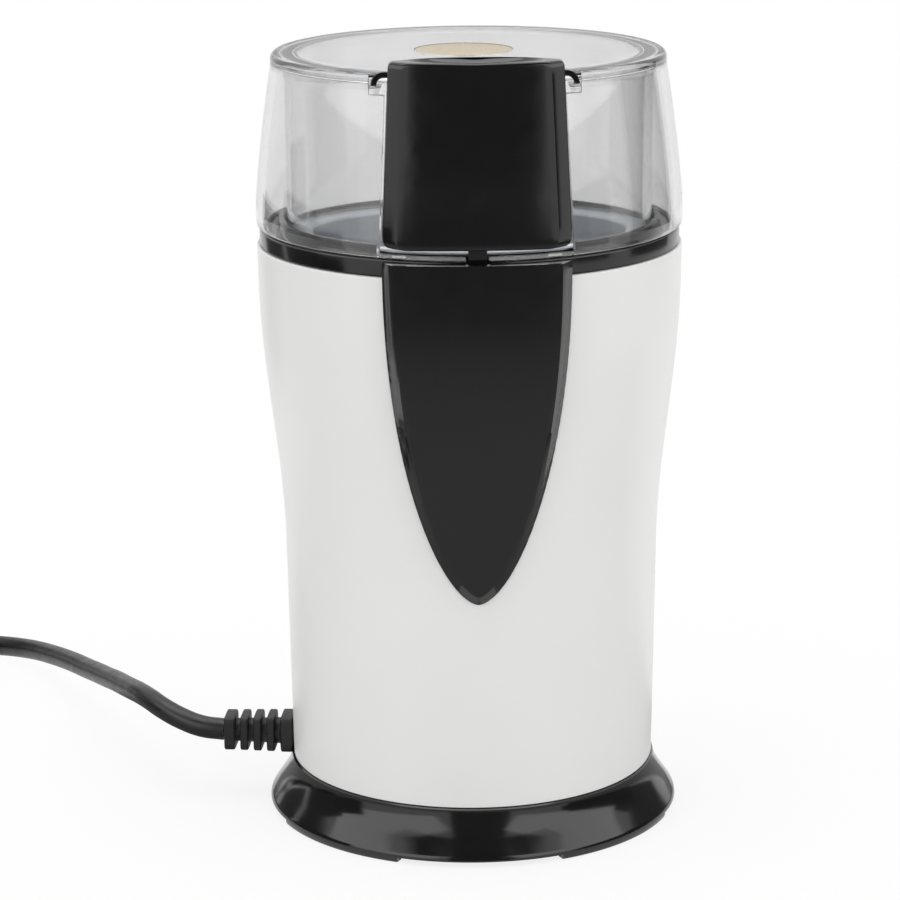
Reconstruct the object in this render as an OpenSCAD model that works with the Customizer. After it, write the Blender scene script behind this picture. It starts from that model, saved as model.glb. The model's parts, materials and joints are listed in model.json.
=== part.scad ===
// Electric spice grinder. A clear lid with a sprung press bar stands on a waisted
// housing, which holds a steel bowl, a two-winged blade and a universal motor.
// Millimetres, +Z up. The origin is on the table under the motor axis, and the
// press bar faces -Y.

/* [Housing] */
// Radius of the housing where it meets the base ring
shell_foot_r = 43.7; // [43.4:0.1:43.9]
// Height of the seam between the base ring and the housing
shell_bottom = 12.5; // [12.3:0.1:12.8]
// Height of the housing's top edge
shell_top = 138.7; // [138.4:0.1:138.8]
// How much wider the flare makes the housing at the top
shell_flare = 4.3; // [4:0.1:4.4]
// Wall thickness of the housing
shell_wall = 2.2; // [2:0.1:2.4]

/* [Base] */
// Outer radius of the base ring
base_r = 50; // [49.5:0.1:50.5]
// Height of the four air gaps under the base ring
gap_height = 1; // [0.6:0.1:1.4]
// Number of vent slots in the bottom cover
vent_count = 18; // [12:2:20]

/* [Bowl and blade] */
// Outer radius of the steel bowl
bowl_r = 37.2; // [36.8:0.1:37.2]
// Depth of the bowl below its rim
bowl_depth = 30; // [29:0.5:30]
// Length of the blade from tip to tip
blade_length = 58; // [50:1:60]
// Twist of each wing of the blade, in degrees
blade_twist = 18; // [8:1:24]

/* [Lid] */
// Widest radius of the lid
lid_r = 50.15; // [50:0.05:50.3]
// Height of the lid's top face
lid_top = 183.6; // [183:0.1:184]
// Wall thickness of the lid
lid_wall = 2; // [1.8:0.1:2.2]
// Outer radius of the inner wall of the lid
skirt_r = 42.9; // [42.6:0.1:43]

/* [Press bar] */
// Height of the top of the press bar
bar_top = 187; // [186.6:0.1:187.4]
// Half the width of the press bar at its foot
bar_half_foot = 21.1; // [20.6:0.1:21.3]
// Half the width of the press bar at its top
bar_half_top = 19.3; // [19:0.1:19.5]
// How far the press bar travels
bar_travel = 2; // [1.5:0.1:2]

/* [Front panel] */
// Half the width of the front panel at its top
panel_half = 21.2; // [20:0.1:22]
// Height of the tip of the front panel
panel_tip = 62.3; // [60:0.5:66]
// How far the front panel stands out of the housing
panel_proud = 2.1; // [1.9:0.1:2.3]

/* [Mains lead] */
// Diameter of the round mains lead
cord_d = 5.4; // [5:0.1:5.6]
// Height of the lead's axis where it leaves the housing
cord_z = 15.5; // [15.4:0.1:15.7]

/* [Hidden] */
$fn = 96;
eps = 0.01;

// Housing
shell_draft = 0.016;
flare_from = 66;
flare_to = 130;
shell_skirt = 8;
skirt_step = 1.4;
boss_r = 36;
boss_angles = [for (k = [0:3]) 22.5 + 90 * k];
foot_xy = 25.6;
ledge_z = 94;
ledge_r = 39.6;

// Collar and bowl
collar_r = 49.4;
collar_top = 143;
collar_seam = 0.2;
bowl_wall = 0.8;
bowl_corner = 9;
bowl_flange_r = 43;
bowl_flange = 0.42;
bowl_rim_z = collar_top - 0.05;
bowl_floor = bowl_rim_z - bowl_depth;
seal_neck_r = 6.5;

// Lid
lid_foot = 143.2;
lid_belly = 147;
lid_shoulder = 181;
shoulder_r = 2.6;
lid_taper = 4.05;
lid_disc_r = 11.4;
lid_dish = 0.7;
pocket_wall = 1.6;
pocket_gap = 0.5;
rim_strip = 144.1;
cap_floor = 179.4;
cap_circle_r = 38.6;
cap_circle_y = -78.1;
window_half = 23.5;
window_z = 178.8;
shelf_z = 166;
shelf_h = 2;

// Press bar
bar_foot = 146.2;
bar_front_foot = 52.2;
bar_front_top = 51.2;
bar_wall = 1.5;
bar_bow = 100;
bar_bevel = 3;
bar_bevel_depth = 2.5;
cap_under = 181.9;
pin_half = 2.1;
pin_front = 49.9;
pin_back = 47.5;
pin_end = 141.5;

// Front panel
panel_top = 142.4;
panel_wall = 1.4;
panel_bevel = 2.3;
panel_bow = 110;

// Interlock
slot_half = 2.6;
slot_foot = 109.6;
plunger_top = pin_end - 0.3;
plunger_foot = 126.2;
plunger_front = 49.6;
plunger_back = 47.2;
spring_seat = 112;
switch_top = 123.5;
switch_y = -41.4;
button_top = 125;

// Motor
wire_angle = 252;
shaft_r = 3;
running_gap = 0.03;
seat_gap = 0.02;
stator_half = 25;
stator_z = [55, 77];
armature_r = 13;
slot_count = 12;
screw_xy = 20.5;
post_r = 3.8;
coil_y = 17.5;
commutator_r = 9;
blade_z = 117.1;
blade_thick = 1.6;

// Mains lead. The route is a list of hand-set points in the order that the lead runs.
boot_angle = 174;
boot_length = 17.2;
boot_root = 43.8;
lead_route = [
  [-60.9, 6.4, 15.5], [-66.6, 7.3, 16.1], [-71.8, 9.5, 17.5], [-76.2, 12.9, 18.9],
  [-79.6, 17.5, 19.7], [-82.4, 23.6, 19.3], [-85, 31, 18], [-87.7, 39, 16.5],
  [-90.5, 47, 15.1], [-93.4, 55, 13.5], [-96.5, 63, 12.1], [-99.8, 71, 10.7],
  [-103.3, 79, 9.5], [-107, 87, 8.2], [-111, 94.8, 6.9], [-115.4, 102.4, 5.6],
  [-120.7, 109.2, 4.4], [-127.3, 114.8, 3.4], [-135.2, 118.5, 2.8], [-143.6, 120, 2.7],
  [-152, 120, 3], [-160, 120, 3.4], [-168, 120, 3.4]
];
tail_route = [
  [-201.7, 86.3, 8.8], [-201.7, 78, 8.6], [-201.7, 69, 8], [-201.7, 60, 7.4],
  [-201.7, 51, 7.1], [-201.7, 43, 7]
];
coil_centre = [-168, 86.3];
coil_turn_r = 31;
coil_lift = 0.7;
tie_angle = -90;
plug_x = -201.7;
plug_rear = 43;
plug_z = 7;

// ---------------------------------------------------------------- helpers

// Half a cosine wave from 0 to 1
function ease(t) = (1 - cos(180 * min(max(t, 0), 1))) / 2;

// Outer radius of the housing at height z
function shell_r(z) =
  shell_foot_r + shell_draft * (z - shell_bottom)
  + shell_flare * ease((z - flare_from) / (flare_to - flare_from));

// Outer radius of the lid's side wall at height z
function lid_side(z) =
  lid_r - lid_taper * pow(max(z - lid_belly, 0) / (lid_shoulder - lid_belly), 1.35);

// Points of an arc from angle a to angle b
function arc(c, r, a, b, n = 8) =
  [for (i = [0:n]) let (t = a + (b - a) * i / n) [c[0] + r * cos(t), c[1] + r * sin(t)]];

// Closed solid through a list of rings of equal length, each anticlockwise from the far end
module loft(rings) {
  n = len(rings[0]);
  last = (len(rings) - 1) * n;
  polyhedron(
    points = [for (r = rings) each r],
    faces = concat(
      [[for (i = [0:n - 1]) i]],
      [for (j = [0:len(rings) - 2]) for (i = [0:n - 1])
        let (a = j * n + i, b = j * n + (i + 1) % n) [a, a + n, b + n]],
      [for (j = [0:len(rings) - 2]) for (i = [0:n - 1])
        let (a = j * n + i, b = j * n + (i + 1) % n) [a, b + n, b]],
      [[for (i = [n - 1:-1:0]) last + i]]
    )
  );
}

function unit(v) = v / norm(v);

// Ring of a tube: centre p, direction d, radius r
function tube_ring(p, d, r, sides) =
  let (side = unit(cross([0, 0, 1], d)), up = cross(d, side))
  [for (i = [0:sides - 1]) let (t = 360 * (i + 0.5) / sides) p + r * (cos(t) * side + sin(t) * up)];

// Tube along a list of points
module tube(route, r, sides = 8) {
  last = len(route) - 1;
  loft([for (i = [0:last])
    tube_ring(route[i], unit(route[min(i + 1, last)] - route[max(i - 1, 0)]), r, sides)]);
}

// Compression spring that stands on the XY plane
module spring(outer, wire, height, turns, steps = 10) {
  mean = outer - wire / 2;
  rise = height - wire;
  tube(
    [for (i = [0:turns * steps]) let (t = 360 * i / steps)
      [mean * cos(t), mean * sin(t), wire / 2 + rise * i / (turns * steps)]],
    wire / 2, 5
  );
}

// Ring of rectangular section between two radii
module ring(r_out, r_in, z0, z1) {
  translate([0, 0, z0])
    difference() {
      cylinder(r = r_out, h = z1 - z0);
      translate([0, 0, -1])
        cylinder(r = r_in, h = z1 - z0 + 2);
    }
}

// Box given by its corners
module block(low, high) {
  translate(low)
    cube(high - low);
}

module on_diagonals(distance) {
  for (sx = [-1, 1])
    for (sy = [-1, 1])
      translate([sx * distance, sy * distance, 0])
        children();
}

module polar(angle, r) {
  rotate([0, 0, angle])
    translate([r, 0, 0])
      children();
}

// ---------------------------------------------------------------- housing

// White one-piece housing: foot skirt, waist, flare, motor ledge and screw bosses
module body_shell() {
  steps = 34;
  heights = [for (i = [0:steps]) shell_bottom + (shell_top - shell_bottom) * i / steps];
  foot_r = shell_foot_r - skirt_step;
  outer = concat([[foot_r, shell_skirt], [foot_r, shell_bottom]], [for (z = heights) [shell_r(z), z]]);
  inner = concat([[foot_r - 1.8, shell_skirt], [foot_r - 1.8, shell_bottom + 1]],
    [for (z = heights) if (z > shell_bottom + 2) [shell_r(z) - shell_wall, z]]);
  color("whitesmoke")
    difference() {
      union() {
        rotate_extrude()
          polygon(concat(outer, [for (i = [len(inner) - 1:-1:0]) inner[i]]));
        ring(shell_r(ledge_z) - 1, ledge_r, ledge_z - shell_wall, ledge_z);
        shell_bosses();
      }
      panel_holes();
      plunger_slot();
      cord_notch();
    }
}

// Screw bosses for the bottom cover, webbed to the wall
module shell_bosses() {
  for (a = boss_angles)
    difference() {
      union() {
        polar(a, boss_r)
          translate([0, 0, shell_skirt])
            cylinder(r = 3.6, h = 18);
        rotate([0, 0, a])
          block([boss_r, -1, shell_skirt], [shell_foot_r - skirt_step - 0.8, 1, 24]);
      }
      polar(a, boss_r)
        translate([0, 0, shell_skirt - 1])
          cylinder(r = 1.4, h = 15);
    }
}

// Holes that take the two pegs of the front panel
module panel_holes() {
  for (z = [82, 104])
    translate([0, -shell_r(z) + 4, z])
      rotate([90, 0, 0])
        cylinder(r = 1.6, h = 10);
}

module plunger_slot() {
  block([-slot_half, -60, slot_foot], [slot_half, -44, shell_top + 1]);
}

// Open-ended notch for the neck of the strain relief
module cord_notch() {
  rotate([0, 0, boot_angle]) {
    translate([38, 0, cord_z])
      rotate([0, 90, 0]) {
        cylinder(r = 4.15, h = 10);
        cylinder(r = 6.2, h = 3.3);
      }
    block([38, -4.15, shell_skirt - 1], [48, 4.15, cord_z]);
    block([38, -6.2, shell_skirt - 1], [41.3, 6.2, cord_z]);
  }
}

// ---------------------------------------------------------------- front panel

// Half the width of the panel at height z
function panel_w(z) =
  panel_half * pow(1 - pow(min((panel_top - z) / (panel_top - panel_tip), 1), 2.1), 0.6);

// Section of the panel at height z. inset moves every face inward.
function panel_ring(z, inset, back) =
  let (
    w = max(panel_w(z) - inset, 1),
    flat = max(w - panel_bevel, 0.5),
    rs = shell_r(z) + 0.12,
    front = shell_r(z) + panel_proud - inset,
    n = 6,
    foot = sqrt(rs * rs - w * w)
  )
  concat(
    [[-w, -foot + back, z]],
    [for (i = [0:n]) let (x = -flat + 2 * flat * i / n) [x, -front + x * x / (2 * panel_bow), z]],
    [[w, -foot + back, z]],
    [for (i = [1:5]) let (x = w - 2 * w * i / 6) [x, back - sqrt(rs * rs - x * x), z]]
  );

// Black shield-shaped cover, hollow behind, with a seat for the plunger spring
module front_panel() {
  heights = [for (i = [0:22]) let (t = i / 22) panel_tip + (panel_top - panel_tip) * t * (0.35 + 0.65 * t)];
  hollow = [for (z = heights) if (z > panel_tip + 4 && z < panel_top - 2) z];
  color("#1c1c1c")
    difference() {
      union() {
        difference() {
          loft([for (z = heights) panel_ring(z, 0, 0)]);
          loft([for (z = concat(hollow, [panel_top - panel_wall])) panel_ring(z, panel_wall, 6)]);
        }
        block([-1.8, -50, spring_seat - 2], [1.8, -plunger_back, spring_seat]);
        panel_pegs();
      }
      block([-pin_half - 0.35, -pin_front - 0.35, panel_top - 3], [pin_half + 0.35, -40, panel_top + 1]);
    }
}

module panel_pegs() {
  for (z = [82, 104])
    translate([0, -shell_r(z) + 1.4, z])
      rotate([90, 0, 0])
        cylinder(r = 1.5, h = panel_proud + 0.4);
}

// ---------------------------------------------------------------- collar and bowl

// Black collar: visible band, lid lip, spigot into the housing and seat of the bowl
module top_collar() {
  band_foot = shell_top + collar_seam;
  color("#202020")
    difference() {
      rotate_extrude()
        union() {
          translate([45.4, band_foot])
            square([collar_r - 45.4, collar_top - band_foot - 0.6]);
          translate([38.9, 141])
            square([collar_r - 0.6 - 38.9, collar_top - 141]);
          translate([collar_r - 0.6, collar_top - 0.6])
            circle(r = 0.6);
          translate([45.6, 131])
            square([1.8, 10.5]);
          translate([38.9, 134])
            square([1.8, 8]);
          translate([37.6, 140.4])
            square([2, 1.4]);
          translate([43.5, collar_top - 0.5])
            square([1.4, 2.8]);
        }
      block([-slot_half, -60, 120], [slot_half, -44, collar_top + 3]);
      block([-24, -60, collar_top], [24, -30, collar_top + 4]);
    }
}

// Soft ring between the bowl's flange and the collar
module bowl_gasket() {
  color("dimgray")
    ring(38.7, 37.5, 141.85, collar_top - 0.02);
}

// Half-section of a cup with a rounded inner corner, filled to the axis
module cup_section(r, floor, top, corner) {
  translate([0, floor])
    square([r - corner, top - floor]);
  translate([0, floor + corner])
    square([r, top - floor - corner]);
  intersection() {
    translate([r - corner, floor + corner])
      circle(r = corner);
    translate([0, floor])
      square([r, corner * 2]);
  }
}

// Deep-drawn steel bowl whose wide flange lies on the collar
module grinding_bowl() {
  color("lightsteelblue")
    rotate_extrude() {
      difference() {
        cup_section(bowl_r, bowl_floor - bowl_wall, bowl_rim_z, bowl_corner);
        cup_section(bowl_r - bowl_wall, bowl_floor, bowl_rim_z + 5, bowl_corner - bowl_wall);
        translate([0, bowl_floor - 3])
          square([seal_neck_r + 0.1, 6]);
      }
      translate([bowl_r - bowl_wall, bowl_rim_z - 0.1])
        square([bowl_wall + 0.2, collar_top + 0.03 + bowl_flange - bowl_rim_z + 0.1]);
      translate([bowl_r, collar_top + 0.03])
        square([bowl_flange_r - bowl_flange / 2 - bowl_r, bowl_flange]);
      translate([bowl_flange_r - bowl_flange / 2, collar_top + 0.03 + bowl_flange / 2])
        circle(r = bowl_flange / 2);
    }
}

// Rubber seal round the shaft, buttoned into the bowl's floor
module shaft_seal() {
  color("#303030")
    difference() {
      union() {
        ring(8.4, shaft_r + 0.25, 106.2, bowl_floor - bowl_wall - 0.05);
        ring(seal_neck_r, shaft_r + 0.25, bowl_floor - bowl_wall - 0.1, bowl_floor + 0.1);
        ring(7.6, shaft_r + 0.25, bowl_floor + 0.05, bowl_floor + 0.9);
      }
    }
}

// ---------------------------------------------------------------- base

// Black flared ring that the housing stands in, notched on four sides for air
module base_ring() {
  edge_r = 2.4;
  edge = [base_r - 0.4 - edge_r, 1.2];
  slope = 54.6;
  low = edge + edge_r * [sin(slope), cos(slope)];
  start = [base_r - 2.9, 5.5];
  turn = [base_r - 5.48, 9.14];
  end = [44.15, shell_bottom - 0.3];
  color("#181818")
    difference() {
      rotate_extrude()
        difference() {
          union() {
            intersection() {
              translate(edge)
                circle(r = edge_r);
              translate([41, 0.1])
                square([12, 5]);
            }
            polygon(concat([[41, 0.1], [edge[0], 0.1], edge, low],
              [for (i = [0:8]) let (t = i / 8) pow(1 - t, 2) * start + 2 * t * (1 - t) * turn + t * t * end],
              [[43.8, shell_bottom - 0.15], [41, shell_bottom - 0.15]]));
          }
          polygon([[42.8, -1], [47.7, -1], [47.7, 0.9], [47, 2.2], [45, 5], [43.6, 6.4], [42.8, 6.6]]);
          translate([30, shell_skirt - 0.2])
            square([shell_foot_r - skirt_step + 0.15 - 30, 8]);
          translate([30, -1])
            square([11, 5.4]);
        }
      for (k = [0:3])
        rotate([0, 0, 90 * k])
          air_gap();
      rotate([0, 0, boot_angle])
        block([40.9, -4.9, cord_z - 4.8], [52, 4.9, 20]);
    }
}

// Wedge of 46 degrees under the rim
module air_gap() {
  reach = 60;
  half = 23;
  translate([0, 0, -1])
    linear_extrude(height = 1.3 + gap_height)
      polygon([[44, 44 * tan(half)], [44, -44 * tan(half)], [reach, -reach * tan(half)],
        [reach, reach * tan(half)]]);
}

// Round plate that closes the base, with vent slots, screw wells and foot pockets
module bottom_cover() {
  color("#222222")
    difference() {
      union() {
        translate([0, 0, 2.4])
          cylinder(r = 40.8, h = 1.9);
        for (a = boss_angles)
          polar(a, boss_r)
            cylinder(r = 3.4, h = shell_skirt - 0.15);
        rotate([0, 0, boot_angle])
          block([30.5, -7, 4], [36, 7, cord_z - cord_d / 2]);
      }
      for (i = [0:vent_count - 1])
        rotate([0, 0, 360 * (i + 0.5) / vent_count])
          block([13, -1.1, 0], [29, 1.1, 8]);
      for (a = boss_angles)
        polar(a, boss_r) {
          translate([0, 0, -1])
            cylinder(r = 2.9, h = 4.4);
          cylinder(r = 1.7, h = 10);
        }
      on_diagonals(foot_xy)
        translate([0, 0, 1])
          cylinder(r = 4.5, h = 2);
    }
}

module rubber_feet() {
  color("#2a2a2a")
    on_diagonals(foot_xy) {
      cylinder(r1 = 4, r2 = 4.3, h = 1.6);
      translate([0, 0, 1.5])
        cylinder(r = 4.4, h = 1.45);
    }
}

module cover_screws() {
  color("silver")
    for (a = boss_angles)
      polar(a, boss_r) {
        translate([0, 0, 1.4])
          difference() {
            cylinder(r = 2.6, h = 1.95);
            block([-2, -0.35, -1], [2, 0.35, 0.8]);
          }
        translate([0, 0, 3.2])
          cylinder(r = 1.35, h = 14);
      }
}

// ---------------------------------------------------------------- motor

// Moulded carrier: bearing hub, disc on the rubber ring, screw posts, switch tower
module upper_bracket() {
  disc_r = 42.2;
  color("#3a3a3a")
    difference() {
      union() {
        translate([0, 0, 96])
          cylinder(r = disc_r, h = 3);
        translate([0, 0, 89.5])
          cylinder(r = 9.5, h = 16.5);
        on_diagonals(screw_xy)
          translate([0, 0, 77.2])
            cylinder(r = post_r, h = 20);
        for (k = [0:3])
          rotate([0, 0, 45 + 90 * k])
            block([8, -1.2, 91], [27, 1.2, 97]);
        for (sx = [-1, 1])
          block([sx * 7 - 1.5, -40.6, 98], [sx * 7 + 1.5, -38.6, 113.3]);
      }
      translate([0, 0, 80])
        cylinder(r = 6 + seat_gap, h = 18.1);
      translate([0, 0, 80])
        cylinder(r = 4.2, h = 40);
      on_diagonals(screw_xy)
        translate([0, 0, 70])
          cylinder(r = 1.95, h = 25);
      for (k = [0:3])
        polar(90 * k, 25)
          translate([0, 0, 90])
            cylinder(r = 5, h = 12);
      polar(wire_angle + 1.5, 37)
        translate([0, 0, 90])
          cylinder(r = 3.4, h = 12);
      translate([3.6, -36.3, 90])
        cylinder(r = 1.4, h = 12);
    }
}

// Rubber ring that floats the motor carrier on the housing's ledge
module motor_damper() {
  color("#262626")
    ring(42.4, 39.8, ledge_z + 0.05, 95.95);
}

// Lower bearing plate with screw posts and insulating seats for the brushes
module lower_bracket() {
  color("#3a3a3a")
    difference() {
      union() {
        translate([0, 0, 32])
          cylinder(r = 28, h = 3);
        translate([0, 0, 28])
          cylinder(r = 9.2, h = 7);
        on_diagonals(screw_xy)
          translate([0, 0, 32])
            cylinder(r = post_r, h = 22.8);
        for (s = [-1, 1])
          block([s * 19 - 7.5, -4.5, 34], [s * 19 + 7.5, 4.5, 38.9]);
      }
      translate([0, 0, 20])
        cylinder(r = 6 + seat_gap, h = 30);
      on_diagonals(screw_xy)
        translate([0, 0, 30])
          cylinder(r = 2, h = 30);
      for (s = [-1, 1])
        for (a = [60, 90, 120])
          polar(s * a, 19)
            translate([0, 0, 30])
              cylinder(r = 3.6, h = 6);
    }
}

module motor_screws() {
  color("silver")
    on_diagonals(screw_xy) {
      translate([0, 0, 29])
        difference() {
          cylinder(r = 3.5, h = 2.9);
          block([-2.6, -0.45, -1], [2.6, 0.45, 1.2]);
        }
      translate([0, 0, 31])
        cylinder(r = 1.8, h = 63);
    }
}

module upper_bushing() {
  color("peru")
    ring(6, shaft_r + running_gap, 90, 98);
}

module lower_bushing() {
  color("peru")
    ring(6, shaft_r + running_gap, 28, 35);
}

// Laminated two-pole stator with coil windows
module stator_core() {
  color("slategray")
    translate([0, 0, stator_z[0]])
      difference() {
        linear_extrude(height = stator_z[1] - stator_z[0])
          difference() {
            intersection() {
              square(2 * stator_half, center = true);
              circle(r = stator_half + 6.5);
            }
            circle(r = armature_r + 0.6);
            for (sx = [-1, 1])
              for (sy = [-1, 1])
                translate([sx * 13.8, sy * coil_y])
                  square([5.2, 5.8], center = true);
          }
        on_diagonals(screw_xy)
          translate([0, 0, -1])
            cylinder(r = 2, h = 40);
      }
}

// One coil round each pole, with rounded end turns
module field_coils() {
  color("sienna")
    for (s = [-1, 1])
      translate([0, s * coil_y, 66])
        rotate([90, 0, 0])
          linear_extrude(height = 5.4, center = true)
            difference() {
              coil_outline(16.2, 17.5);
              square([22.8, 22.6], center = true);
            }
}

// Rounded rectangle with half sizes w and h
module coil_outline(w, h) {
  corner = 3;
  square([2 * w, 2 * (h - corner)], center = true);
  square([2 * (w - corner), 2 * h], center = true);
  for (sx = [-1, 1])
    for (sy = [-1, 1])
      translate([sx * (w - corner), sy * (h - corner)])
        circle(r = corner);
}

module brush_holders() {
  color("darkgoldenrod")
    for (s = [0, 180])
      rotate([0, 0, s])
        difference() {
          block([11.5, -4.3, 39.1], [27.2, 4.3, 47.7]);
          block([10, -3.1, 40.3], [26.4, 3.1, 46.5]);
        }
}

module carbon_brushes() {
  color("#2b2b2b")
    for (s = [0, 180])
      rotate([0, 0, s])
        block([commutator_r + 0.15, -3, 40.4], [20, 3, 46.4]);
}

module brush_springs() {
  color("silver")
    for (s = [0, 180])
      rotate([0, 0, s])
        translate([20.15, 0, 43.4])
          rotate([0, 90, 0])
            spring(2.4, 0.5, 6.1, 4);
}

module drive_shaft() {
  color("silver") {
    translate([0, 0, 14])
      cylinder(r = shaft_r, h = 100.4);
    translate([0, 0, 114.3])
      cylinder(r = 5, h = blade_z - 114.35);
    translate([0, 0, 117])
      cylinder(r = 2.4, h = 5);
  }
}

module thrust_washers() {
  color("ivory") {
    ring(5.6, shaft_r + seat_gap, 25.5, 27.7);
    ring(5.6, shaft_r + seat_gap, 87.5, 89.7);
  }
}

// Slotted steel stack of the rotor
module armature_core() {
  color("slategray")
    difference() {
      ring(armature_r, shaft_r + seat_gap, 55, 77);
      for (i = [0:slot_count - 1])
        rotate([0, 0, 360 * i / slot_count])
          block([8, -0.9, 50], [20, 0.9, 80]);
    }
}

// Copper in the slots and the wound ends
module armature_windings() {
  color("chocolate") {
    for (i = [0:slot_count - 1])
      rotate([0, 0, 360 * i / slot_count])
        block([8.2, -0.8, 54], [11.9, 0.8, 78]);
    winding_end(49.6, 54.7);
    winding_end(77.3, 83.5);
  }
}

module winding_end(z0, z1) {
  rotate_extrude()
    difference() {
      union() {
        translate([3.4, z0])
          square([6.1, z1 - z0]);
        translate([3.4, z0 + 2])
          square([8.1, z1 - z0 - 4]);
        for (z = [z0 + 2, z1 - 2])
          translate([9.5, z])
            circle(r = 2);
      }
      square([3.4, 200]);
    }
}

module commutator() {
  color("peru")
    difference() {
      ring(commutator_r, shaft_r + seat_gap, 38.5, 48.8);
      for (i = [0:slot_count - 1])
        rotate([0, 0, 360 * (i + 0.5) / slot_count])
          block([7, -0.3, 37], [12, 0.3, 47]);
    }
}

// Centrifugal fan that draws air through the base
module cooling_fan() {
  color("#e6e6e6")
    difference() {
      union() {
        translate([0, 0, 15])
          cylinder(r = 6, h = 10.2);
        translate([0, 0, 24])
          cylinder(r = 23, h = 1.2);
        for (i = [0:8])
          rotate([0, 0, 40 * i])
            translate([5.5, 0, 15.5])
              rotate([0, 0, 18])
                block([0, -0.6, 0], [17, 0.6, 9]);
      }
      translate([0, 0, 10])
        cylinder(r = shaft_r + seat_gap, h = 20);
    }
}

// ---------------------------------------------------------------- blade

// Height and pitch of the blade at x
function blade_lift(x) = x > 0 ? 4 * pow(max(x - 8, 0) / 21, 1.5) : -1.6 * pow(max(-x - 8, 0) / 21, 1.5);
function blade_pitch(x) = blade_twist * ease((abs(x) - 6) / 8) * (x > 0 ? 1 : -1);
function blade_half(x) = 5.2 - 1.6 * pow(abs(x) / (blade_length / 2), 2);

function blade_ring(x) =
  let (w = blade_half(x), h = blade_thick / 2, a = blade_pitch(x), z = blade_z + h + blade_lift(x))
  [for (p = [[-w, h * 0.3], [-w + 1, -h], [w - 0.4, -h], [w, 0], [w - 0.4, h], [-w + 1, h]])
    [x, p[0] * cos(a) - p[1] * sin(a), z + p[0] * sin(a) + p[1] * cos(a)]];

// Steel strip with two twisted wings, one raised and one dipped
module grinding_blade() {
  steps = 28;
  half = blade_length / 2;
  color("gainsboro")
    difference() {
      loft([for (i = [0:steps]) blade_ring(half - blade_length * i / steps)]);
      translate([0, 0, 100])
        cylinder(r = 2.45, h = 30);
    }
}

module blade_nut() {
  color("#333333")
    difference() {
      union() {
        translate([0, 0, blade_z + blade_thick + 0.05])
          cylinder(r = 5, h = 2.8);
        intersection() {
          translate([0, 0, blade_z + blade_thick + 0.5])
            sphere(r = 5);
          translate([0, 0, blade_z + blade_thick + 2.7])
            cylinder(r = 4.6, h = 5);
        }
      }
      translate([0, 0, 110])
        cylinder(r = 2.42, h = 12.1);
    }
}

// ---------------------------------------------------------------- lid

// Outline of the lid's outer form, filled to the axis
module lid_outline() {
  heights = [for (i = [0:12]) lid_shoulder - (lid_shoulder - lid_belly) * i / 12];
  polygon(concat(
    [[0, lid_top - lid_dish]],
    [[11, lid_top - lid_dish]],
    arc([lid_side(lid_shoulder) - shoulder_r, lid_top - shoulder_r], shoulder_r, 90, 8, 6),
    [for (z = heights) [lid_side(z), z]],
    [[lid_r - 0.05, lid_foot + 1.3], [lid_r - 0.4, lid_foot], [0, lid_foot]]
  ));
}

// Ring-shaped space between the lid's two walls
module lid_cavity() {
  heights = [for (i = [0:8]) 180.2 - (180.2 - lid_foot + 1) * i / 8];
  polygon(concat([[skirt_r, 180.2]], [for (z = heights) [lid_side(z) - lid_wall, z]],
    [[skirt_r, lid_foot - 1]]));
}

// Plan of the press bar's cap, grown by g, as a solid from z0 up
module cap_space(g, z0) {
  translate([0, 0, z0])
    linear_extrude(height = 12)
      intersection() {
        translate([0, cap_circle_y])
          circle(r = cap_circle_r + g);
        translate([-bar_half_top - 0.1 - g, -60])
          square([2 * (bar_half_top + 0.1 + g), 40]);
      }
}

// Tapered space for the press bar in front of the lid's inner wall, grown by g
module bar_space(g, z0) {
  slope = (bar_half_foot - bar_half_top) / (bar_top - bar_foot);
  foot = bar_half_foot + slope * (bar_foot - z0) + g;
  head = bar_half_foot - slope * (195 - bar_foot) + g;
  difference() {
    translate([0, -30, 0])
      rotate([90, 0, 0])
        linear_extrude(height = 30)
          polygon([[-foot, z0], [foot, z0], [head, 195], [-head, 195]]);
    cylinder(r = skirt_r, h = 200);
  }
}

// Clear lid: outer dome, inner wall, pocket and windows for the press bar
module lid_shell() {
  color([0.78, 0.79, 0.79, 0.45])
    difference() {
      union() {
        rotate_extrude()
          difference() {
            lid_outline();
            lid_cavity();
            cup_section_down(skirt_r - 1.8, 180.9, lid_foot - 1, 2.5);
            translate([0, lid_foot - 1])
              square([skirt_r + 0.3, 1.6]);
          }
        lid_pocket_walls();
      }
      bar_space(pocket_gap, rim_strip);
      cap_space(pocket_gap, cap_floor);
      translate([0, 0, lid_top - lid_dish - 0.5])
        cylinder(r = lid_disc_r + 0.15, h = 3);
      for (s = [-1, 1])
        lid_window(s);
      block([-slot_half, -60, lid_foot - 1], [slot_half, -pin_back + 0.4, rim_strip + 1]);
    }
  color([0.78, 0.79, 0.79, 0.45])
    difference() {
      block([-8.5, -47.6, shelf_z], [8.5, -skirt_r + 1.2, shelf_z + shelf_h]);
      cylinder(r = skirt_r - 0.4, h = 200);
    }
}

// Filled half-section of an upside-down cup whose closed end is at the height top
module cup_section_down(r, top, foot, corner) {
  translate([0, foot])
    square([r, top - foot - corner]);
  translate([0, foot])
    square([r - corner, top - foot]);
  intersection() {
    translate([r - corner, top - corner])
      circle(r = corner);
    translate([0, foot])
      square([r, top - foot]);
  }
}

// Pocket under the bar's cap, which keeps the lid closed there
module lid_pocket_walls() {
  intersection() {
    rotate_extrude()
      lid_outline();
    cap_space(pocket_gap + pocket_wall, cap_floor - pocket_wall);
  }
}

// Opening at each upper corner, in which an ear of the press bar rides
module lid_window(s) {
  mirror([s < 0 ? 1 : 0, 0, 0])
    block([16.9, -60, window_z], [window_half, -39, 190]);
}

module lid_disc() {
  color("khaki")
    translate([0, 0, lid_top - lid_dish - 0.45])
      cylinder(r = lid_disc_r, h = 0.75);
}

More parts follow.
